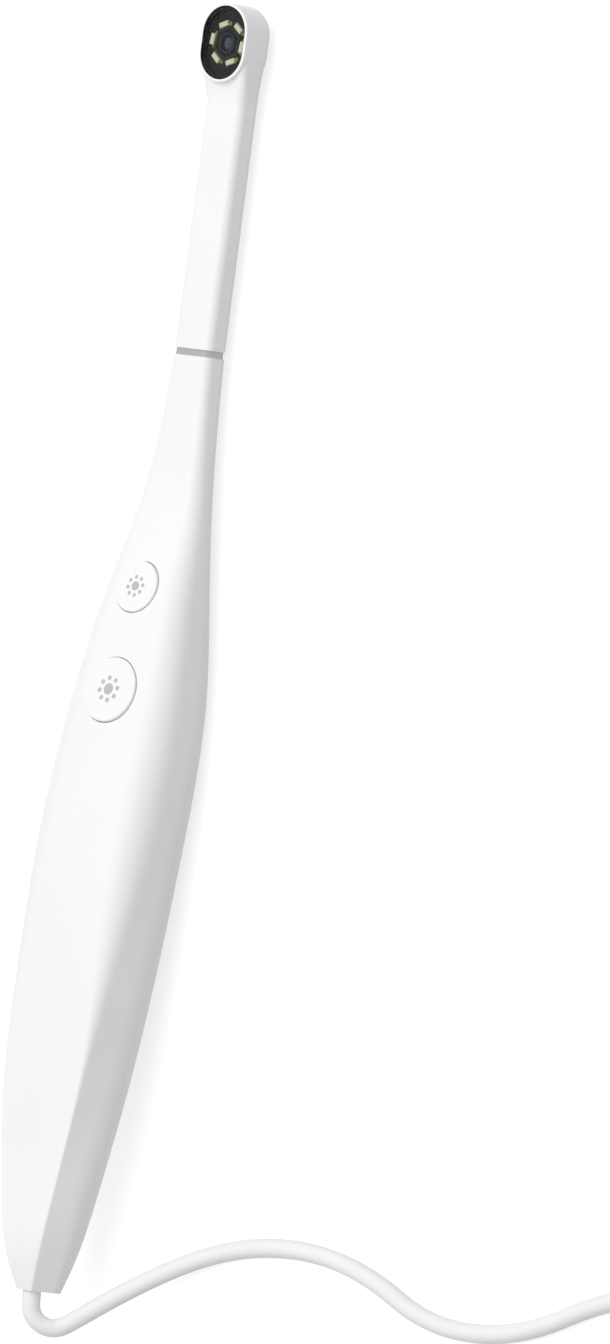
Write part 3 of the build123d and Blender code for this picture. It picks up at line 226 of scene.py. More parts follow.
Station = namedtuple("Station", "along front_z front_half front_r back_z back_half back_r")
STATIONS = [
    Station(0.0, 17.3, 1.70, 0.4, 10.4, 3.00, 2.4),
    Station(5.0, 18.8, 3.40, 0.4, 8.8, 4.80, 4.4),
    Station(15.0, 19.6, 5.50, 0.4, 6.9, 7.15, 6.7),
    Station(31.0, 19.65, 7.95, 0.6, 4.4, 9.10, 8.2),
    Station(50.0, 19.55, 9.80, 3.0, 2.0, 10.45, 9.2),
    Station(69.0, 18.9, 11.05, 5.5, 0.5, 11.10, 9.0),
    Station(82.0, 17.4, 11.15, 5.9, -0.15, 11.15, 8.1),
    Station(95.0, 15.25, 10.40, 5.2, -0.15, 10.40, 6.6),
    Station(112.0, 12.0, 8.30, 4.0, 1.0, 8.30, 5.0),
    Station(124.0, 8.8, 6.50, 2.8, 1.7, 6.50, 3.6),
    Station(136.0, 7.35, 4.85, 1.9, 1.9, 4.85, 2.2),
    Station(149.0, 7.0, 3.90, 1.5, 2.0, 3.90, 1.5),
]
HANDLE_LENGTH = STATIONS[-1].along
print("stations:", len(STATIONS), "handle length:", HANDLE_LENGTH, "mm")

# %% [markdown]
# ## Smooth curves between stations
#
# Straight lines from station to station would show as kinks in the gloss. A natural cubic spline
# passes through every station and keeps its bend even on both sides of it, as a bent wooden batten
# does on a boatbuilder's floor. Its bends come from one small set of linear equations.

# %% Draw a smooth curve through the stations


def spline_through(places, values, wanted):
    """Values at the wanted places, on the natural cubic spline through the given ones."""
    x, y = np.array(places, float), np.array(values, float)
    gap = np.diff(x)
    slope = np.diff(y) / gap
    system = np.zeros((len(x), len(x)))
    bend = np.zeros(len(x))
    system[0, 0] = system[-1, -1] = 1
    for i in range(1, len(x) - 1):
        system[i, i - 1 : i + 2] = gap[i - 1], 2 * (gap[i - 1] + gap[i]), gap[i]
        bend[i] = 6 * (slope[i] - slope[i - 1])
    bend = np.linalg.solve(system, bend)
    found = []
    for place_wanted in wanted:
        i = min(max(int(np.searchsorted(x, place_wanted)) - 1, 0), len(gap) - 1)
        a, b = x[i + 1] - place_wanted, place_wanted - x[i]
        found.append(
            (bend[i] * a**3 + bend[i + 1] * b**3) / (6 * gap[i])
            + (y[i] / gap[i] - bend[i] * gap[i] / 6) * a
            + (y[i + 1] / gap[i] - bend[i + 1] * gap[i] / 6) * b
        )
    return [float(value) for value in found]


known = [station.along for station in STATIONS]
belly_half = spline_through(known, [station.back_half for station in STATIONS], [75.0])
print("half width at 75 mm along:", round(belly_half[0], 2), "mm")

# %% [markdown]
# ## One section
#
# A section is mirrored left to right, so only half of it is drawn: along the flat front, round its
# corner, down the straight flank that touches both corners, round the back's corner and along the
# flat that the wand lies on. Every section has the same number of points, which lets them be joined
# row to row.

# %% Draw half a section

SMALLEST_CORNER = 0.3
FRONT_STEPS, FRONT_CORNER_STEPS = 5, 8
FLANK_STEPS = 7
BACK_CORNER_STEPS, BACK_STEPS = 12, 5


def straight(start, end, steps):
    """Points along a straight run, without its end."""
    return [start.lerp(end, i / steps) for i in range(steps)]


def round_the(centre, radius, start, end, steps):
    """Points along an arc between two angles, without its end."""
    turns = [start + (end - start) * i / steps for i in range(steps)]
    return [centre + radius * Vector((math.cos(t), math.sin(t))) for t in turns]


def half_section(station, inset):
    """One half of a section, from the middle of the front round to the middle of the back."""
    front_r = max(station.front_r - inset, SMALLEST_CORNER)
    back_r = max(station.back_r - inset, SMALLEST_CORNER)
    front = Vector((station.front_half - inset - front_r, station.front_z - inset - front_r))
    back = Vector((station.back_half - inset - back_r, station.back_z + inset + back_r))
    run = back - front
    flank = math.atan2(run.y, run.x) + math.acos((front_r - back_r) / run.length)
    flank_way = Vector((math.cos(flank), math.sin(flank)))
    up, down = math.pi / 2, -math.pi / 2
    front_top = front + Vector((0, front_r))
    back_bottom = back - Vector((0, back_r))
    middle_bottom = Vector((0, back_bottom.y))
    outline = straight(Vector((0, front_top.y)), front_top, FRONT_STEPS)
    outline += round_the(front, front_r, up, flank, FRONT_CORNER_STEPS)
    outline += straight(front + front_r * flank_way, back + back_r * flank_way, FLANK_STEPS)
    outline += round_the(back, back_r, flank, down, BACK_CORNER_STEPS)
    outline += straight(back_bottom, middle_bottom, BACK_STEPS)
    outline.append(middle_bottom)
    return outline


print("points in half a section:", len(half_section(STATIONS[0], 0.0)))

# %% [markdown]
# ## The handle's skin
#
# A circle is extruded row by row into a tube, and each row then takes the shape of the handle's
# section there. This gives a grid of even quads, which shades cleanly, where the solid's own loose
# triangles would show. A second, smaller skin is the hollow inside, one wall's thickness in.

# %% Wrap the handle

HANDLE_WALL = 1.3
HOLLOW_START = 5.0
SKIN_STEP, HOLLOW_STEP = 1.5, 3.0
ROUGH_RADIUS = 10


def set_points(piece, spots):
    """Puts a mesh's points at the given spots, in their order."""
    piece.data.vertices.foreach_set("co", [value for spot in spots for value in spot])
    piece.data.update()


def section_rows(wanted, inset):
    """The spots of one row after another, each round the handle at a wanted place along it."""
    measures = [wanted]
    for field in Station._fields[1:]:
        measures.append(spline_through(known, [getattr(s, field) for s in STATIONS], wanted))
    spots = []
    for values in zip(*measures):
        half = half_section(Station(*values), inset)
        ring = half + [Vector((-point.x, point.y)) for point in reversed(half[1:-1])]
        spots += [place(point.x, values[0], max(point.y, inset)) for point in ring]
    return spots


def wrap_handle(name, start, end, inset, step):
    """A closed skin: a circle extruded row by row, each row shaped to the handle's section."""
    rows = max(2, round((end - start) / step) + 1)
    wanted = [start + (end - start) * i / (rows - 1) for i in range(rows)]
    spots = section_rows(wanted, inset)
    bpy.ops.object.select_all(action="DESELECT")
    bpy.ops.mesh.primitive_circle_add(
        vertices=len(spots) // rows,
        radius=ROUGH_RADIUS * MM,
        fill_type="NOTHING",
        enter_editmode=True,
    )
    for row in wanted[1:]:
        bpy.ops.mesh.extrude_region_move(TRANSFORM_OT_translate={"value": (0, 0, MM)})
    bpy.ops.object.mode_set(mode="OBJECT")
    skin = bpy.context.object
    skin.name = name
    set_points(skin, spots)
    bpy.ops.object.mode_set(mode="EDIT")
    bpy.ops.mesh.select_all(action="DESELECT")
    bpy.ops.mesh.select_non_manifold(extend=False)
    bpy.ops.mesh.edge_face_add()
    bpy.ops.mesh.select_all(action="SELECT")
    bpy.ops.mesh.normals_make_consistent(inside=False)
    bpy.ops.object.mode_set(mode="OBJECT")
    return skin


handle_skin = wrap_handle("handle_skin", 0.0, HANDLE_LENGTH, 0.0, SKIN_STEP)
hollow = wrap_handle("hollow", HOLLOW_START, HANDLE_LENGTH, HANDLE_WALL, HOLLOW_STEP)
print("handle skin faces:", len(handle_skin.data.polygons))

# %% [markdown]
# ## Cutting the handle
#
# The moulding is 1.3 mm thick and has openings: the two button holes, the cord's bore, the socket
# for the stem and the long oval for the cover in its back. Each is cut by a simple solid with a
# Boolean modifier, as a milling cutter would do it, and the cutter is deleted afterwards.

# %% Helpers for cutting

ROD_SIDES = 96


def only(piece):
    """Makes a piece the only selected one, and the active one."""
    bpy.ops.object.select_all(action="DESELECT")
    piece.select_set(True)
    bpy.context.view_layer.objects.active = piece


def copy_of(piece, name):
    """A copy with its own mesh."""
    twin = piece.copy()
    twin.data = piece.data.copy()
    twin.name = twin.data.name = name
    bpy.context.collection.objects.link(twin)
    return twin


def cut(piece, cutter, operation="DIFFERENCE"):
    """Cuts a piece by a cutter, which is then deleted."""
    only(piece)
    boolean = piece.modifiers.new("cut", "BOOLEAN")
    boolean.operation = operation
    boolean.solver = "EXACT"
    boolean.object = cutter
    bpy.ops.object.modifier_apply(modifier=boolean.name)
    bpy.data.objects.remove(cutter, do_unlink=True)


def add_rod(spot, radius, length, lean=0.0, sides=ROD_SIDES):
    """A rod centred on a spot, upright or leaning towards the head."""
    bpy.ops.object.select_all(action="DESELECT")
    bpy.ops.mesh.primitive_cylinder_add(
        vertices=sides,
        radius=radius * MM,
        depth=length * MM,
        location=spot,
        rotation=(-lean, 0, 0),
    )
    return bpy.context.object


# %% [markdown]
# ## The rear cover's oval
#
# The cover in the back is a long oval, and the shell has the same oval a seam's width larger. Both
# are cut from the same skin, so the two meet flush however the back curves.

# %% Part the cover from the shell

COVER_MIDDLE_ALONG = 77.0
COVER_HALF_WIDTH, COVER_HALF_LENGTH = 7.2, 47.0
COVER_SEAM = 0.12
COVER_TOP = 6.3
COVER_SPARE = 1
OVAL_SIDES = 160


def add_oval(grow):
    """The rear cover's outline as an upright oval block, from under the table to the cover's top."""
    middle = place(0, COVER_MIDDLE_ALONG, COVER_TOP / 2 - COVER_SPARE)
    oval = add_rod(middle, 1, COVER_TOP + 2 * COVER_SPARE, sides=OVAL_SIDES)
    oval.scale = (COVER_HALF_WIDTH + grow, COVER_HALF_LENGTH + grow, 1)
    return oval


rear_cover = copy_of(handle_skin, "rear_cover_panel")
cut(rear_cover, copy_of(hollow, "hollow_copy"))
cut(rear_cover, add_oval(0), "INTERSECT")
cut(handle_skin, hollow)
cut(handle_skin, add_oval(COVER_SEAM))
print("shell faces:", len(handle_skin.data.polygons), "cover faces:", len(rear_cover.data.polygons))

# %% [markdown]
# ## Holes for the buttons and the cord
#
# The keypad leans by 10.8 degrees, and the buttons are pressed square to it, so their holes lean as
# well. Under each hole the wall is cut back wider, to leave room for the button's flange, which
# keeps it from falling out. The cord's bore is a rod laid along the tail.

# %% Cut the button holes and the cord's bore

KEYPAD_LEAN = math.radians(10.822)
KEYPAD_OUT = Vector((0, math.sin(KEYPAD_LEAN), math.cos(KEYPAD_LEAN)))
KEYPAD_UP = Vector((0, math.cos(KEYPAD_LEAN), -math.sin(KEYPAD_LEAN)))
BUTTON_SPACING = 16.90
UPPER_MIDDLE = place(0, 111.8, 12.039)
LOWER_MIDDLE = UPPER_MIDDLE - BUTTON_SPACING * MM * KEYPAD_UP
BUTTONS = {
    "upper_button": (UPPER_MIDDLE, 8.4),
    "lower_button": (LOWER_MIDDLE, 10.5),
}
BUTTON_CLEARANCE = 0.12
BUTTON_HOLE_CUT = 6
FLANGE_SINK, FLANGE_CUT = 2.6, 2.8
FLANGE_ROOM = 1.0
CORD_BORE_RADIUS, CORD_BORE_CUT = 1.55, 8
CORD_BORE_ALONG = 2
SMALL_ROD_SIDES = 48

for middle, diameter in BUTTONS.values():
    hole = diameter / 2 + BUTTON_CLEARANCE
    cut(handle_skin, add_rod(middle, hole, BUTTON_HOLE_CUT, KEYPAD_LEAN))
    flange_seat = middle - FLANGE_SINK * MM * KEYPAD_OUT
    cut(handle_skin, add_rod(flange_seat, diameter / 2 + FLANGE_ROOM, FLANGE_CUT, KEYPAD_LEAN))
bore_middle = place(0, CORD_BORE_ALONG, CORD_EXIT_Z)
lying = math.radians(-90)
cut(handle_skin, add_rod(bore_middle, CORD_BORE_RADIUS, CORD_BORE_CUT, lying, SMALL_ROD_SIDES))
print("shell faces with its holes:", len(handle_skin.data.polygons))

# %% [markdown]
# ## The stem's socket and the screw's recess
#
# The stem goes into a flat socket with rounded corners. A cube has none, so its four long edges are
# picked by their direction and bevelled. The cover's one screw sits in a plain round recess.

# %% Cut the socket and the recess

SOCKET_INSET = 5.5
SOCKET_WIDTH, SOCKET_LENGTH, SOCKET_DEPTH = 5.9, 15, 3.1
SOCKET_CORNER, SOCKET_CORNER_STEPS = 0.95, 5
SCREW_ALONG, SCREW_Z = 36.5, 2.6
SCREW_RECESS_RADIUS, SCREW_RECESS_CUT = 1.62, 5.3

bpy.ops.object.select_all(action="DESELECT")
socket_middle = place(0, HANDLE_LENGTH - SOCKET_INSET, PROBE_Z)
bpy.ops.mesh.primitive_cube_add(size=MM, location=socket_middle)
socket = bpy.context.object
socket.scale = (SOCKET_WIDTH, SOCKET_LENGTH, SOCKET_DEPTH)
bpy.ops.object.transform_apply(location=False, rotation=False, scale=True)
bpy.ops.object.mode_set(mode="EDIT")
bpy.ops.mesh.select_all(action="DESELECT")
bpy.ops.object.mode_set(mode="OBJECT")
for edge in socket.data.edges:
    ends = [socket.data.vertices[i].co for i in edge.vertices]
    edge.select = abs(ends[0].y - ends[1].y) > MM
bpy.ops.object.mode_set(mode="EDIT")
bpy.ops.mesh.bevel(offset=SOCKET_CORNER * MM, segments=SOCKET_CORNER_STEPS, affect="EDGES")
bpy.ops.object.mode_set(mode="OBJECT")
cut(handle_skin, socket)
screw_middle = place(0, SCREW_ALONG, SCREW_Z)
recess = add_rod(screw_middle, SCREW_RECESS_RADIUS, SCREW_RECESS_CUT, sides=SMALL_ROD_SIDES)
cut(rear_cover, recess)
print("shell faces with its socket:", len(handle_skin.data.polygons))

# %% [markdown]
# ## Finishing the mouldings
#
# A finished piece keeps its place in its mesh, with its object at the origin. Faces that meet at
# less than 28 degrees are shaded as one smooth surface, which keeps the crease and the rims of the
# holes crisp. Each piece then rides on the body that carries it, and stands for the plain solid.

# %% Finish the two mouldings

SMOOTH_ANGLE = math.radians(28)


def finish_piece(piece, name, slot, *stands_for):
    """Bakes a piece's place into its mesh, smooths it and gives it its place on the part."""
    only(piece)
    bpy.ops.object.transform_apply(location=True, rotation=True, scale=True)
    bpy.ops.object.shade_smooth_by_angle(angle=SMOOTH_ANGLE)
    piece.name = piece.data.name = name
    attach(piece, HANDPIECE)
    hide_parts(*stands_for)
    print(name, len(piece.data.polygons), "faces")


finish_piece(handle_skin, "handle_moulding", "white_housing", "front_shell")
finish_piece(rear_cover, "rear_cover_panel", "white_housing", "rear_cover")

# %% [markdown]
# ## Nodes for finishes
#
# A finish is a tree of nodes. Adding one always takes the same steps: make it, set it up, and fill
# its sockets with values or with links from other nodes. One function does all three. Colours are
# picked as sRGB hex codes, as in a paint program, while the nodes count in linear light.

# %% Helpers for finishes


def linear(hex_colour):
    """An sRGB hex colour as the linear colour that the sockets take."""
    parts = [int(hex_colour[i : i + 2], 16) / 255 for i in (0, 2, 4)]
    return [c / 12.92 if c <= 0.04045 else ((c + 0.055) / 1.055) ** 2.4 for c in parts] + [1]


def add_node(tree, kind, sockets=None, **settings):
    """Adds a node with its settings, and fills its sockets with values or links."""
    node = tree.nodes.new("ShaderNode" + kind)
    for name, value in settings.items():
        setattr(node, name, value)
    for name, value in (sockets or {}).items():
        if isinstance(value, bpy.types.NodeSocket):
            tree.links.new(value, node.inputs[name])
        else:
            node.inputs[name].default_value = value
    return node


def new_finish(name):
    """An empty material, and its tree of nodes."""
    material = bpy.data.materials.new(name)
    material.use_nodes = True
    material.node_tree.nodes.clear()
    return material, material.node_tree


print("white in linear light:", linear("FFFFFF"), "middle grey:", linear("808080"))

# %% [markdown]
# ## The sky
#
# The picture is a cut-out on pure white, and a white sky lights it softly from all round. A sky as
# bright as white paper would wash the wand out. The camera, mirrors and glass therefore see it at
# full strength, and everything that it lights gets half. The Light Path node tells them apart.

# %% Make a white sky

SKY_STRENGTH = 0.5


def looked_at(tree):
    """1 for what the camera sees straight, in a reflection or through glass, and 0 for light."""
    rays = add_node(tree, "LightPath").outputs
    mirrored = add_node(
        tree,
        "Math",
        {0: rays["Is Glossy Ray"], 1: rays["Is Transmission Ray"]},
        operation="ADD",
    ).outputs["Value"]
    return add_node(
        tree,
        "Math",
        {0: rays["Is Camera Ray"], 1: mirrored},
        operation="ADD",
        use_clamp=True,
    ).outputs["Value"]


sky = bpy.data.worlds.new("white_sky")
bpy.context.scene.world = sky
sky.use_nodes = True
tree = sky.node_tree
tree.nodes.clear()
strength = add_node(
    tree,
    "MapRange",
    {"Value": looked_at(tree), "To Min": SKY_STRENGTH, "To Max": 1.0},
).outputs["Result"]
glow = add_node(tree, "Background", {"Color": linear("FFFFFF"), "Strength": strength})
add_node(tree, "OutputWorld", {"Surface": glow.outputs["Background"]})
print("sky nodes:", len(tree.nodes))

# %% [markdown]
# ## The lamp
#
# One large round lamp hangs almost straight above, a little towards the head. Its size makes the
# shadow under the wand soft, and its place makes the front brighter than the flank. It is kept out
# of reflections, because its edge would draw a hard line along the handle.

# %% Hang the lamp

LAMP_WAY = Vector((0.08, 0.3, 1.0)).normalized()
LAMP_DISTANCE = 1.6
LAMP_DIAMETER = 1.8
LAMP_POWER = 19.5

bpy.ops.object.light_add(type="AREA", location=LAMP_WAY * LAMP_DISTANCE)
lamp = bpy.context.object
lamp.name = "soft_box"
lamp.data.shape = "DISK"
lamp.data.size = LAMP_DIAMETER
lamp.data.energy = LAMP_POWER
lamp.visible_glossy = False
lamp.rotation_euler = LAMP_WAY.to_track_quat("Z", "Y").to_euler()
bpy.context.scene.view_settings.view_transform = "Standard"
print("lamp at", [round(value, 2) for value in lamp.location])

# %% [markdown]
# ## The table
#
# The table is a plain pale sheet of laminate. Its own colour is a light grey, so that it throws only
# a little light back up at the wand. Where the camera sees it, a glow of its own lifts it to white,
# and the wand's shadow still shows.

# %% Lay the table

TABLE_SIZE = 3
TABLE_GLOW = 0.7

bpy.ops.object.select_all(action="DESELECT")
bpy.ops.mesh.primitive_plane_add(size=TABLE_SIZE)
table = bpy.context.object
table.name = "table_top"

table_finish, tree = new_finish("white laminate")
lift = add_node(
    tree,
    "Math",
    {0: looked_at(tree), 1: TABLE_GLOW},
    operation="MULTIPLY",
).outputs["Value"]
shade = add_node(tree, "BsdfDiffuse", {"Color": linear("BEBEBE")})
own_light = add_node(tree, "Emission", {"Color": linear("FFFFFF"), "Strength": lift})
both = add_node(tree, "AddShader", {0: shade.outputs["BSDF"], 1: own_light.outputs["Emission"]})
add_node(tree, "OutputMaterial", {"Surface": both.outputs["Shader"]})
table.data.materials.append(table_finish)
print("table nodes:", len(tree.nodes))

# %% [markdown]
# ## Moulded plastics
#
# The handle, the stem and the buttons are injection-moulded ABS. Such a surface is an even colour
# with a soft gloss: the mould's fine grain blurs its highlights. A cloud of very slightly different
# colour and roughness keeps it from looking like paint. The same recipe with other numbers makes
# the nylon of the sockets, the cord's PVC, the boards' lacquer and the black inner plastics.

# %% Moulded plastic

CLOUD_SIZE = 14
GLOSS_SPREAD = 0.03
CLOUD_LOW, CLOUD_HIGH = 0.3, 0.7
GRAIN_STRENGTH = 0.4


def moulded_plastic(name, dark, light, roughness, grain, depth, ior, shine=0.5):
    """Moulded plastic: a faint cloud between two colours, and grain with a size and depth in mm."""
    material, tree = new_finish(name)
    spot = add_node(tree, "TexCoord").outputs["Object"]
    cloud = add_node(
        tree,
        "TexNoise",
        {"Vector": spot, "Scale": 1 / (CLOUD_SIZE * MM), "Detail": 2.0},
    ).outputs["Fac"]
    # A Mix node set to colour takes its two colours on sockets 6 and 7, and gives its own on 2.
    tint = add_node(
        tree,
        "Mix",
        {0: cloud, 6: linear(dark), 7: linear(light)},
        data_type="RGBA",
    ).outputs[2]
    gloss = add_node(
        tree,
        "MapRange",
        {
            "Value": cloud,
            "From Min": CLOUD_LOW,
            "From Max": CLOUD_HIGH,
            "To Min": roughness - GLOSS_SPREAD,
            "To Max": roughness + GLOSS_SPREAD,
        },
    ).outputs["Result"]
    grains = add_node(
        tree,
        "TexNoise",
        {"Vector": spot, "Scale": 1 / (grain * MM), "Detail": 3.0},
    ).outputs["Fac"]
    relief = add_node(
        tree,
        "Bump",
        {"Height": grains, "Strength": GRAIN_STRENGTH, "Distance": depth * MM},
    ).outputs["Normal"]
    shader = add_node(
        tree,
        "BsdfPrincipled",
        {
            "Base Color": tint,
            "Roughness": gloss,
            "IOR": ior,
            "Specular IOR Level": shine,
            "Normal": relief,
        },
    )
    add_node(tree, "OutputMaterial", {"Surface": shader.outputs["BSDF"]})
    return material


# %% [markdown]
# ## White and ivory plastics
#
# Hard plastics such as ABS have an index of refraction of about 1.53. The real grain of a mould is
# about a tenth of a millimetre, too fine to show from here, so it is drawn three to six times as
# coarse.

# %% White and ivory plastics

finishes = {}

# ABS from a satin mould: the handle spreads each highlight wide.
finishes["white_housing"] = moulded_plastic(
    "ABS, moulded, white", dark="EDEEF0", light="F3F4F5",
    roughness=0.34, grain=0.5, depth=0.008, ior=1.53,
)
# Polished ABS: the stem and head have to be wiped clean, and their highlights are a bit tighter.
finishes["white_probe"] = moulded_plastic(
    "ABS, moulded, white, polished", dark="EDEEF0", light="F3F4F5",
    roughness=0.28, grain=0.5, depth=0.006, ior=1.53,
)
# Nylon: the sockets are warmer and duller than the shell.
finishes["connector_nylon"] = moulded_plastic(
    "nylon, moulded, ivory", dark="DCD9CC", light="E8E5D9",
    roughness=0.45, grain=0.4, depth=0.01, ior=1.53,
)
# Extruded PVC: the cord's soft jacket has a dull bloom and is a shade greyer than the handle.
finishes["white_cord"] = moulded_plastic(
    "PVC jacket, extruded, white", dark="EAEBEC", light="F1F2F3",
    roughness=0.42, grain=0.35, depth=0.01, ior=1.53,
)
print("white finishes:", list(finishes))

# %% [markdown]
# ## Dark and coloured plastics
#
# The parts round the lens are dull black, so that they throw no light into the picture. The other
# finishes here are inside the handle, and are named and coloured as such parts are on a real board.

# %% Dark and coloured plastics

# Glass-filled PBT: black with hardly any shine, for the shroud round the lens.
finishes["black_plastic"] = moulded_plastic(
    "PBT, moulded, black", dark="1C1B1E", light="262529",
    roughness=0.5, grain=0.3, depth=0.01, ior=1.55, shine=0.2,
)
# A black lacquered board: smoother than the shroud, and kept from mirroring the sky.
finishes["black_board"] = moulded_plastic(
    "FR4 board, black mask", dark="0C0C0D", light="141415",
    roughness=0.3, grain=0.6, depth=0.01, ior=1.5, shine=0.12,
)
# A green lacquered board: an even satin.
finishes["green_board"] = moulded_plastic(
    "FR4 board, green mask", dark="0F4A28", light="155C34",
    roughness=0.35, grain=0.6, depth=0.01, ior=1.5,
)
# Silicone filled with phosphor: the yellow, matt face of a white LED that is switched off.
finishes["led_phosphor"] = moulded_plastic(
    "phosphor silicone", dark="F0ECBE", light="FAF6D6",
    roughness=0.55, grain=0.3, depth=0.02, ior=1.41,
)
# Silicone: a soft, matt red round the wires.
finishes["wire_insulation"] = moulded_plastic(
    "silicone insulation", dark="A83A30", light="B8463A",
    roughness=0.5, grain=0.3, depth=0.01, ior=1.41,
)
# Polyimide film: an amber, glossy ribbon.
finishes["ribbon_polyimide"] = moulded_plastic(
    "polyimide ribbon", dark="8A4F14", light="A8651E",
    roughness=0.3, grain=0.6, depth=0.01, ior=1.6,
)
# A silicon die under its cover glass: nearly black, and as smooth as glass.
finishes["sensor_glass"] = moulded_plastic(
    "silicon die under glass", dark="1B1E26", light="262B36",
    roughness=0.12, grain=0.6, depth=0.004, ior=1.52,
)
print("plastic finishes:", len(finishes))

# %% [markdown]
# ## Metals
#
# Turned and drawn metal has fine lines that stretch its highlights. They come from a noise pattern
# that is squeezed eight times along the wand, so that the lines run across it, as a lathe leaves
# them on the trim ring. The real lines are a few hundredths of a millimetre apart and are drawn
# coarser, so that they show. Metals keep the shader's own IOR.

# %% Turned metal

LINE_SQUEEZE = 8.0
LINE_STRENGTH = 0.3
LINE_DEPTH = 0.01
METAL_GLOSS_SPREAD = 0.08


def turned_metal(name, dark, light, roughness, line, metallic=1.0):
    """Drawn or turned metal, with fine lines of a given width in mm."""
    material, tree = new_finish(name)
    spot = add_node(tree, "TexCoord").outputs["Object"]
    squeezed = add_node(
        tree, "Mapping", {"Vector": spot, "Scale": (1.0, LINE_SQUEEZE, 1.0)}
    ).outputs["Vector"]
    lines = add_node(
        tree, "TexNoise", {"Vector": squeezed, "Scale": 1 / (line * MM), "Detail": 3.0}
    ).outputs["Fac"]
    tint = add_node(
        tree, "Mix", {0: lines, 6: linear(dark), 7: linear(light)}, data_type="RGBA"
    ).outputs[2]
    gloss = add_node(
        tree,
        "MapRange",
        {
            "Value": lines,
            "To Min": roughness - METAL_GLOSS_SPREAD,
            "To Max": roughness + METAL_GLOSS_SPREAD,
        },
    ).outputs["Result"]
    relief = add_node(
        tree, "Bump", {"Height": lines, "Strength": LINE_STRENGTH, "Distance": LINE_DEPTH * MM}
    ).outputs["Normal"]
    shader = add_node(
        tree,
        "BsdfPrincipled",
        {"Base Color": tint, "Metallic": metallic, "Roughness": gloss, "Normal": relief},
    )
    add_node(tree, "OutputMaterial", {"Surface": shader.outputs["BSDF"]})
    return material


# Anodised aluminium: the oxide skin on the trim ring hides most of the mirror in the metal.
finishes["trim_metal"] = turned_metal(
    "aluminium, anodised", "A3A5A7", "BEC0C1", roughness=0.45, line=1.2, metallic=0.35
)
# Stainless steel: the screws keep a plain, slightly blurred shine.
finishes["screw_steel"] = turned_metal(
    "stainless steel", "A0A1A3", "BEBFC1", roughness=0.28, line=0.5
)
# Nickel plate: the plug's shell is brighter and tighter than the screws.
finishes["plug_metal"] = turned_metal(
    "steel, nickel plated", "B2B3B5", "CFD0D1", roughness=0.22, line=0.6
)
# Gold plate: the plug's contacts are warm and nearly mirror-bright.
finishes["contact_gold"] = turned_metal(
    "copper alloy, gold plated", "C99A3C", "E2B858", roughness=0.25, line=0.5
)
print("finishes with metals:", len(finishes))

# %% [markdown]
# ## Glass
#
# The window is a thin pane with an anti-glare coat. A thin pane doesn't bend the picture behind it,
# so it is made of a see-through shader and a polished one. Fresnel mixes them: little reflection
# when looked at straight, and more at a slant. Faint smears vary the polish.

# %% Clear glass

SMEAR_SIZE = 5
SMEAR_SPREAD = 0.06


def clear_glass(name, tint, ior, roughness):
    """A thin pane: what lies behind it shows, under the reflections of its polished face."""
    material, tree = new_finish(name)
    spot = add_node(tree, "TexCoord").outputs["Object"]
    smears = add_node(
        tree, "TexNoise", {"Vector": spot, "Scale": 1 / (SMEAR_SIZE * MM), "Detail": 3.0}
    ).outputs["Fac"]
    gloss = add_node(
        tree,
        "MapRange",
        {"Value": smears, "To Min": roughness, "To Max": roughness + SMEAR_SPREAD},
    ).outputs["Result"]
    see_through = add_node(tree, "BsdfTransparent", {"Color": linear(tint)}).outputs["BSDF"]
    polish = add_node(tree, "BsdfGlossy", {"Roughness": gloss}).outputs["BSDF"]
    slant = add_node(tree, "Fresnel", {"IOR": ior}).outputs["Fac"]
    both = add_node(tree, "MixShader", {0: slant, 1: see_through, 2: polish})
    add_node(tree, "OutputMaterial", {"Surface": both.outputs["Shader"]})
    return material


# A coated cover glass: its coat takes off most of the reflection that plain glass has.
finishes["window_glass"] = clear_glass("coated cover glass", "F4F6F6", ior=1.22, roughness=0.02)
# A coated lens: its coat leaves it a grey-blue tint, and it mirrors more than the window does.
finishes["lens_glass"] = clear_glass("coated lens glass", "8E93A8", ior=1.6, roughness=0.02)
print("finishes with glass:", len(finishes))

# %% [markdown]
# ## Patterns worked out from a distance
#
# Three finishes carry a second colour in an exact place: the black inside of the head, the gold
# pads beside the LEDs, and the sun on each button. All are worked out from where a spot lies round
# some middle. A Mapping node of the texture kind gives that place in millimetres, and a Wrap node
# folds the angle, so that one mark drawn in the pattern shows as a whole ring of marks.

# %% Helpers for patterns


def spot_round(tree, middle, lean=0.0):
    """A spot's place from a middle, in mm, on axes that may lean as the keypad does."""
    spot = add_node(tree, "TexCoord").outputs["Object"]
    return add_node(
        tree,
        "Mapping",
        {"Vector": spot, "Location": middle, "Rotation": (-lean, 0, 0), "Scale": (MM, MM, MM)},
        vector_type="TEXTURE",
    ).outputs["Vector"]


def ring_of_marks(tree, spot, count, first_angle):
    """A spot's distance from the middle, and its angle from the nearest of a ring of marks."""
    flat = add_node(
        tree, "VectorMath", {0: spot, 1: (1, 1, 0)}, operation="MULTIPLY"
    ).outputs["Vector"]
    away = add_node(tree, "VectorMath", {0: flat}, operation="LENGTH").outputs["Value"]
    parts = add_node(tree, "SeparateXYZ", {"Vector": flat}).outputs
    angle = add_node(
        tree, "Math", {0: parts["Y"], 1: parts["X"]}, operation="ARCTAN2"
    ).outputs["Value"]
    turned = add_node(
        tree, "Math", {0: angle, 1: first_angle}, operation="SUBTRACT"
    ).outputs["Value"]
    half_step = math.pi / count
    folded = add_node(
        tree, "Math", {0: turned, 1: half_step, 2: -half_step}, operation="WRAP"
    ).outputs["Value"]
    return away, folded


def paint_over(material, mask, colour):
    """Covers a finish's colour where the mask is 1."""
    tree = material.node_tree
    shader = next(node for node in tree.nodes if node.type == "BSDF_PRINCIPLED")
    plain = shader.inputs["Base Color"].links[0].from_socket
    painted = add_node(tree, "Mix", {0: mask, 6: plain, 7: linear(colour)}, data_type="RGBA")
    tree.links.new(painted.outputs[2], shader.inputs["Base Color"])


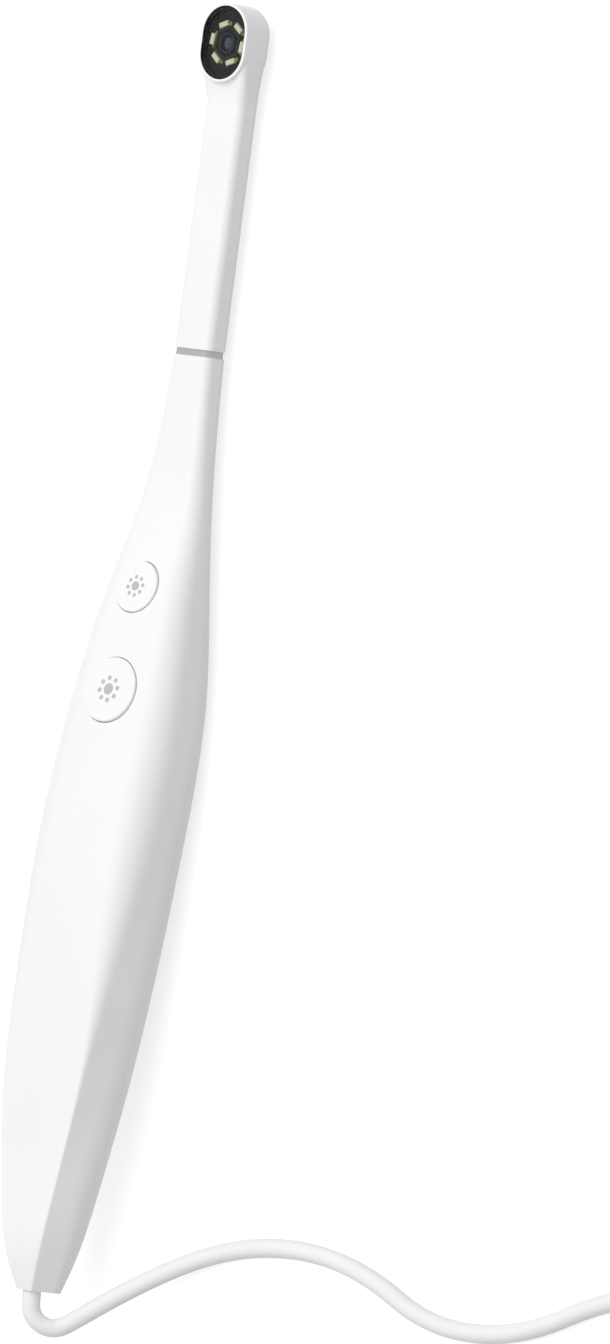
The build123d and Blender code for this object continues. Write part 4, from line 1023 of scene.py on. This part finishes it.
# %% [markdown]
# ## The black pocket in the head
#
# The stem's moulding is painted black inside the head, so that no stray light reaches the lens. The
# pocket has straight sides and round ends. The distance to its edge is found by folding it into one
# quarter, taking off the straight stretch, and measuring what is left.

# %% Paint the pocket

HEAD_MIDDLE = place(0, 198.5, 7.1)
POCKET_RADIUS = 4.36
POCKET_HALF_STRAIGHT = 1.5
POCKET_FLOOR = -3.0

tree = finishes["white_probe"].node_tree
spot = spot_round(tree, HEAD_MIDDLE)
flat = add_node(
    tree, "VectorMath", {0: spot, 1: (1, 1, 0)}, operation="MULTIPLY"
).outputs["Vector"]
quarter = add_node(tree, "VectorMath", {0: flat}, operation="ABSOLUTE").outputs["Vector"]
past_straight = add_node(
    tree, "VectorMath", {0: quarter, 1: (0, POCKET_HALF_STRAIGHT, 0)}, operation="SUBTRACT"
).outputs["Vector"]
beyond = add_node(
    tree, "VectorMath", {0: past_straight, 1: (0, 0, 0)}, operation="MAXIMUM"
).outputs["Vector"]
reach = add_node(tree, "VectorMath", {0: beyond}, operation="LENGTH").outputs["Value"]
inside = add_node(
    tree, "Math", {0: reach, 1: POCKET_RADIUS}, operation="LESS_THAN"
).outputs["Value"]
height = add_node(tree, "SeparateXYZ", {"Vector": spot}).outputs["Z"]
above = add_node(
    tree, "Math", {0: height, 1: POCKET_FLOOR}, operation="GREATER_THAN"
).outputs["Value"]
pocket = add_node(tree, "Math", {0: inside, 1: above}, operation="MULTIPLY").outputs["Value"]
paint_over(finishes["white_probe"], pocket, "0B0B0C")
print("stem finish nodes:", len(tree.nodes))

# %% [markdown]
# ## Gold pads beside the LEDs
#
# Each LED is soldered to two gold-plated pads, and their ends show beside it on the black board. In
# the pattern they are two short stretches of the ring that the LEDs stand on. A Compare node is 1
# where a value is within a given reach of another.

# %% Plate the pads

LED_COUNT = 6
LED_CIRCLE = 3.13
LED_FIRST_ANGLE = math.radians(-8.5)
PAD_MIDDLE, PAD_HALF_LENGTH = 1.05, 0.25
PAD_HALF_WIDTH = 0.3

tree = finishes["black_board"].node_tree
spot = spot_round(tree, HEAD_MIDDLE)
reach, from_led = ring_of_marks(tree, spot, LED_COUNT, LED_FIRST_ANGLE)
on_ring = add_node(
    tree, "Math", {0: reach, 1: LED_CIRCLE, 2: PAD_HALF_WIDTH}, operation="COMPARE"
).outputs["Value"]
along_ring = add_node(
    tree, "Math", {0: from_led, 1: LED_CIRCLE}, operation="MULTIPLY"
).outputs["Value"]
either_side = add_node(tree, "Math", {0: along_ring}, operation="ABSOLUTE").outputs["Value"]
beside_led = add_node(
    tree, "Math", {0: either_side, 1: PAD_MIDDLE, 2: PAD_HALF_LENGTH}, operation="COMPARE"
).outputs["Value"]
pads = add_node(tree, "Math", {0: on_ring, 1: beside_led}, operation="MULTIPLY").outputs["Value"]
paint_over(finishes["black_board"], pads, "B08A45")
print("board finish nodes:", len(tree.nodes))

# %% [markdown]
# ## The marks on the buttons
#
# Each button carries a small grey sun: a disc with eight dots round it, printed on the cap. The
# disc is every spot within its radius of the middle. A dot is every spot within its own radius of
# the dot's middle, which lies one ring's radius out. The ink has a soft edge, as printing does.

# %% Print a sun on a key cap

SUN_DOTS = 8
SUN_TURN = math.radians(9.8)
SUN_GREY = "B9BABB"
INK_EDGE = 0.06


def print_sun(material, middle, disc, ring, dot):
    """Prints a sun on a finish: sizes are the disc's, ring's and dots' radii in millimetres."""
    tree = material.node_tree
    spot = spot_round(tree, middle, KEYPAD_LEAN)
    away, from_ray = ring_of_marks(tree, spot, SUN_DOTS, SUN_TURN)
    across = add_node(tree, "Math", {0: from_ray}, operation="SINE").outputs["Value"]
    outwards = add_node(tree, "Math", {0: from_ray}, operation="COSINE").outputs["Value"]
    aside = add_node(tree, "Math", {0: away, 1: across}, operation="MULTIPLY").outputs["Value"]
    beyond = add_node(
        tree, "Math", {0: away, 1: outwards, 2: -ring}, operation="MULTIPLY_ADD"
    ).outputs["Value"]
    offset = add_node(tree, "CombineXYZ", {"X": aside, "Y": beyond}).outputs["Vector"]
    from_dot = add_node(tree, "VectorMath", {0: offset}, operation="LENGTH").outputs["Value"]
    marks = []
    for distance, radius in ((away, disc), (from_dot, dot)):
        mark = add_node(
            tree,
            "MapRange",
            {
                "Value": distance,
                "From Min": radius - INK_EDGE,
                "From Max": radius + INK_EDGE,
                "To Min": 1.0,
                "To Max": 0.0,
            },
            interpolation_type="SMOOTHSTEP",
        )
        marks.append(mark.outputs["Result"])
    ink = add_node(tree, "Math", {0: marks[0], 1: marks[1]}, operation="MAXIMUM")
    paint_over(material, ink.outputs["Value"], SUN_GREY)


# Key caps in ABS are a shade brighter than the handle, and dulled by fingers.
SUNS = {
    "upper_button": {"disc": 0.76, "ring": 1.5, "dot": 0.33},
    "lower_button": {"disc": 0.94, "ring": 1.8, "dot": 0.39},
}
key_caps = {}
for name, sizes in SUNS.items():
    key_caps[name] = moulded_plastic(
        "ABS, moulded, white, " + name.replace("_", " "), dark="EFF0F1", light="F5F5F6",
        roughness=0.36, grain=0.4, depth=0.008, ior=1.53,
    )
    print_sun(key_caps[name], BUTTONS[name][0], **sizes)
print("key caps:", list(key_caps))

# %% [markdown]
# ## Giving out the finishes
#
# The record says which finish each solid has, so one loop dresses them all, those inside the handle
# too. The two key caps have finishes of their own, and the pieces that we made are dressed by hand.

# %% Give every piece its finish

for entry in frame["record"]["subparts"]:
    piece = nodes[entry["node"]]
    piece.data.materials.clear()
    piece.data.materials.append(key_caps.get(entry["node"]) or finishes[entry["material_slot"]])
for piece in (handle_skin, rear_cover):
    piece.data.materials.clear()
    piece.data.materials.append(finishes["white_housing"])
cord.data.materials.append(finishes["white_cord"])
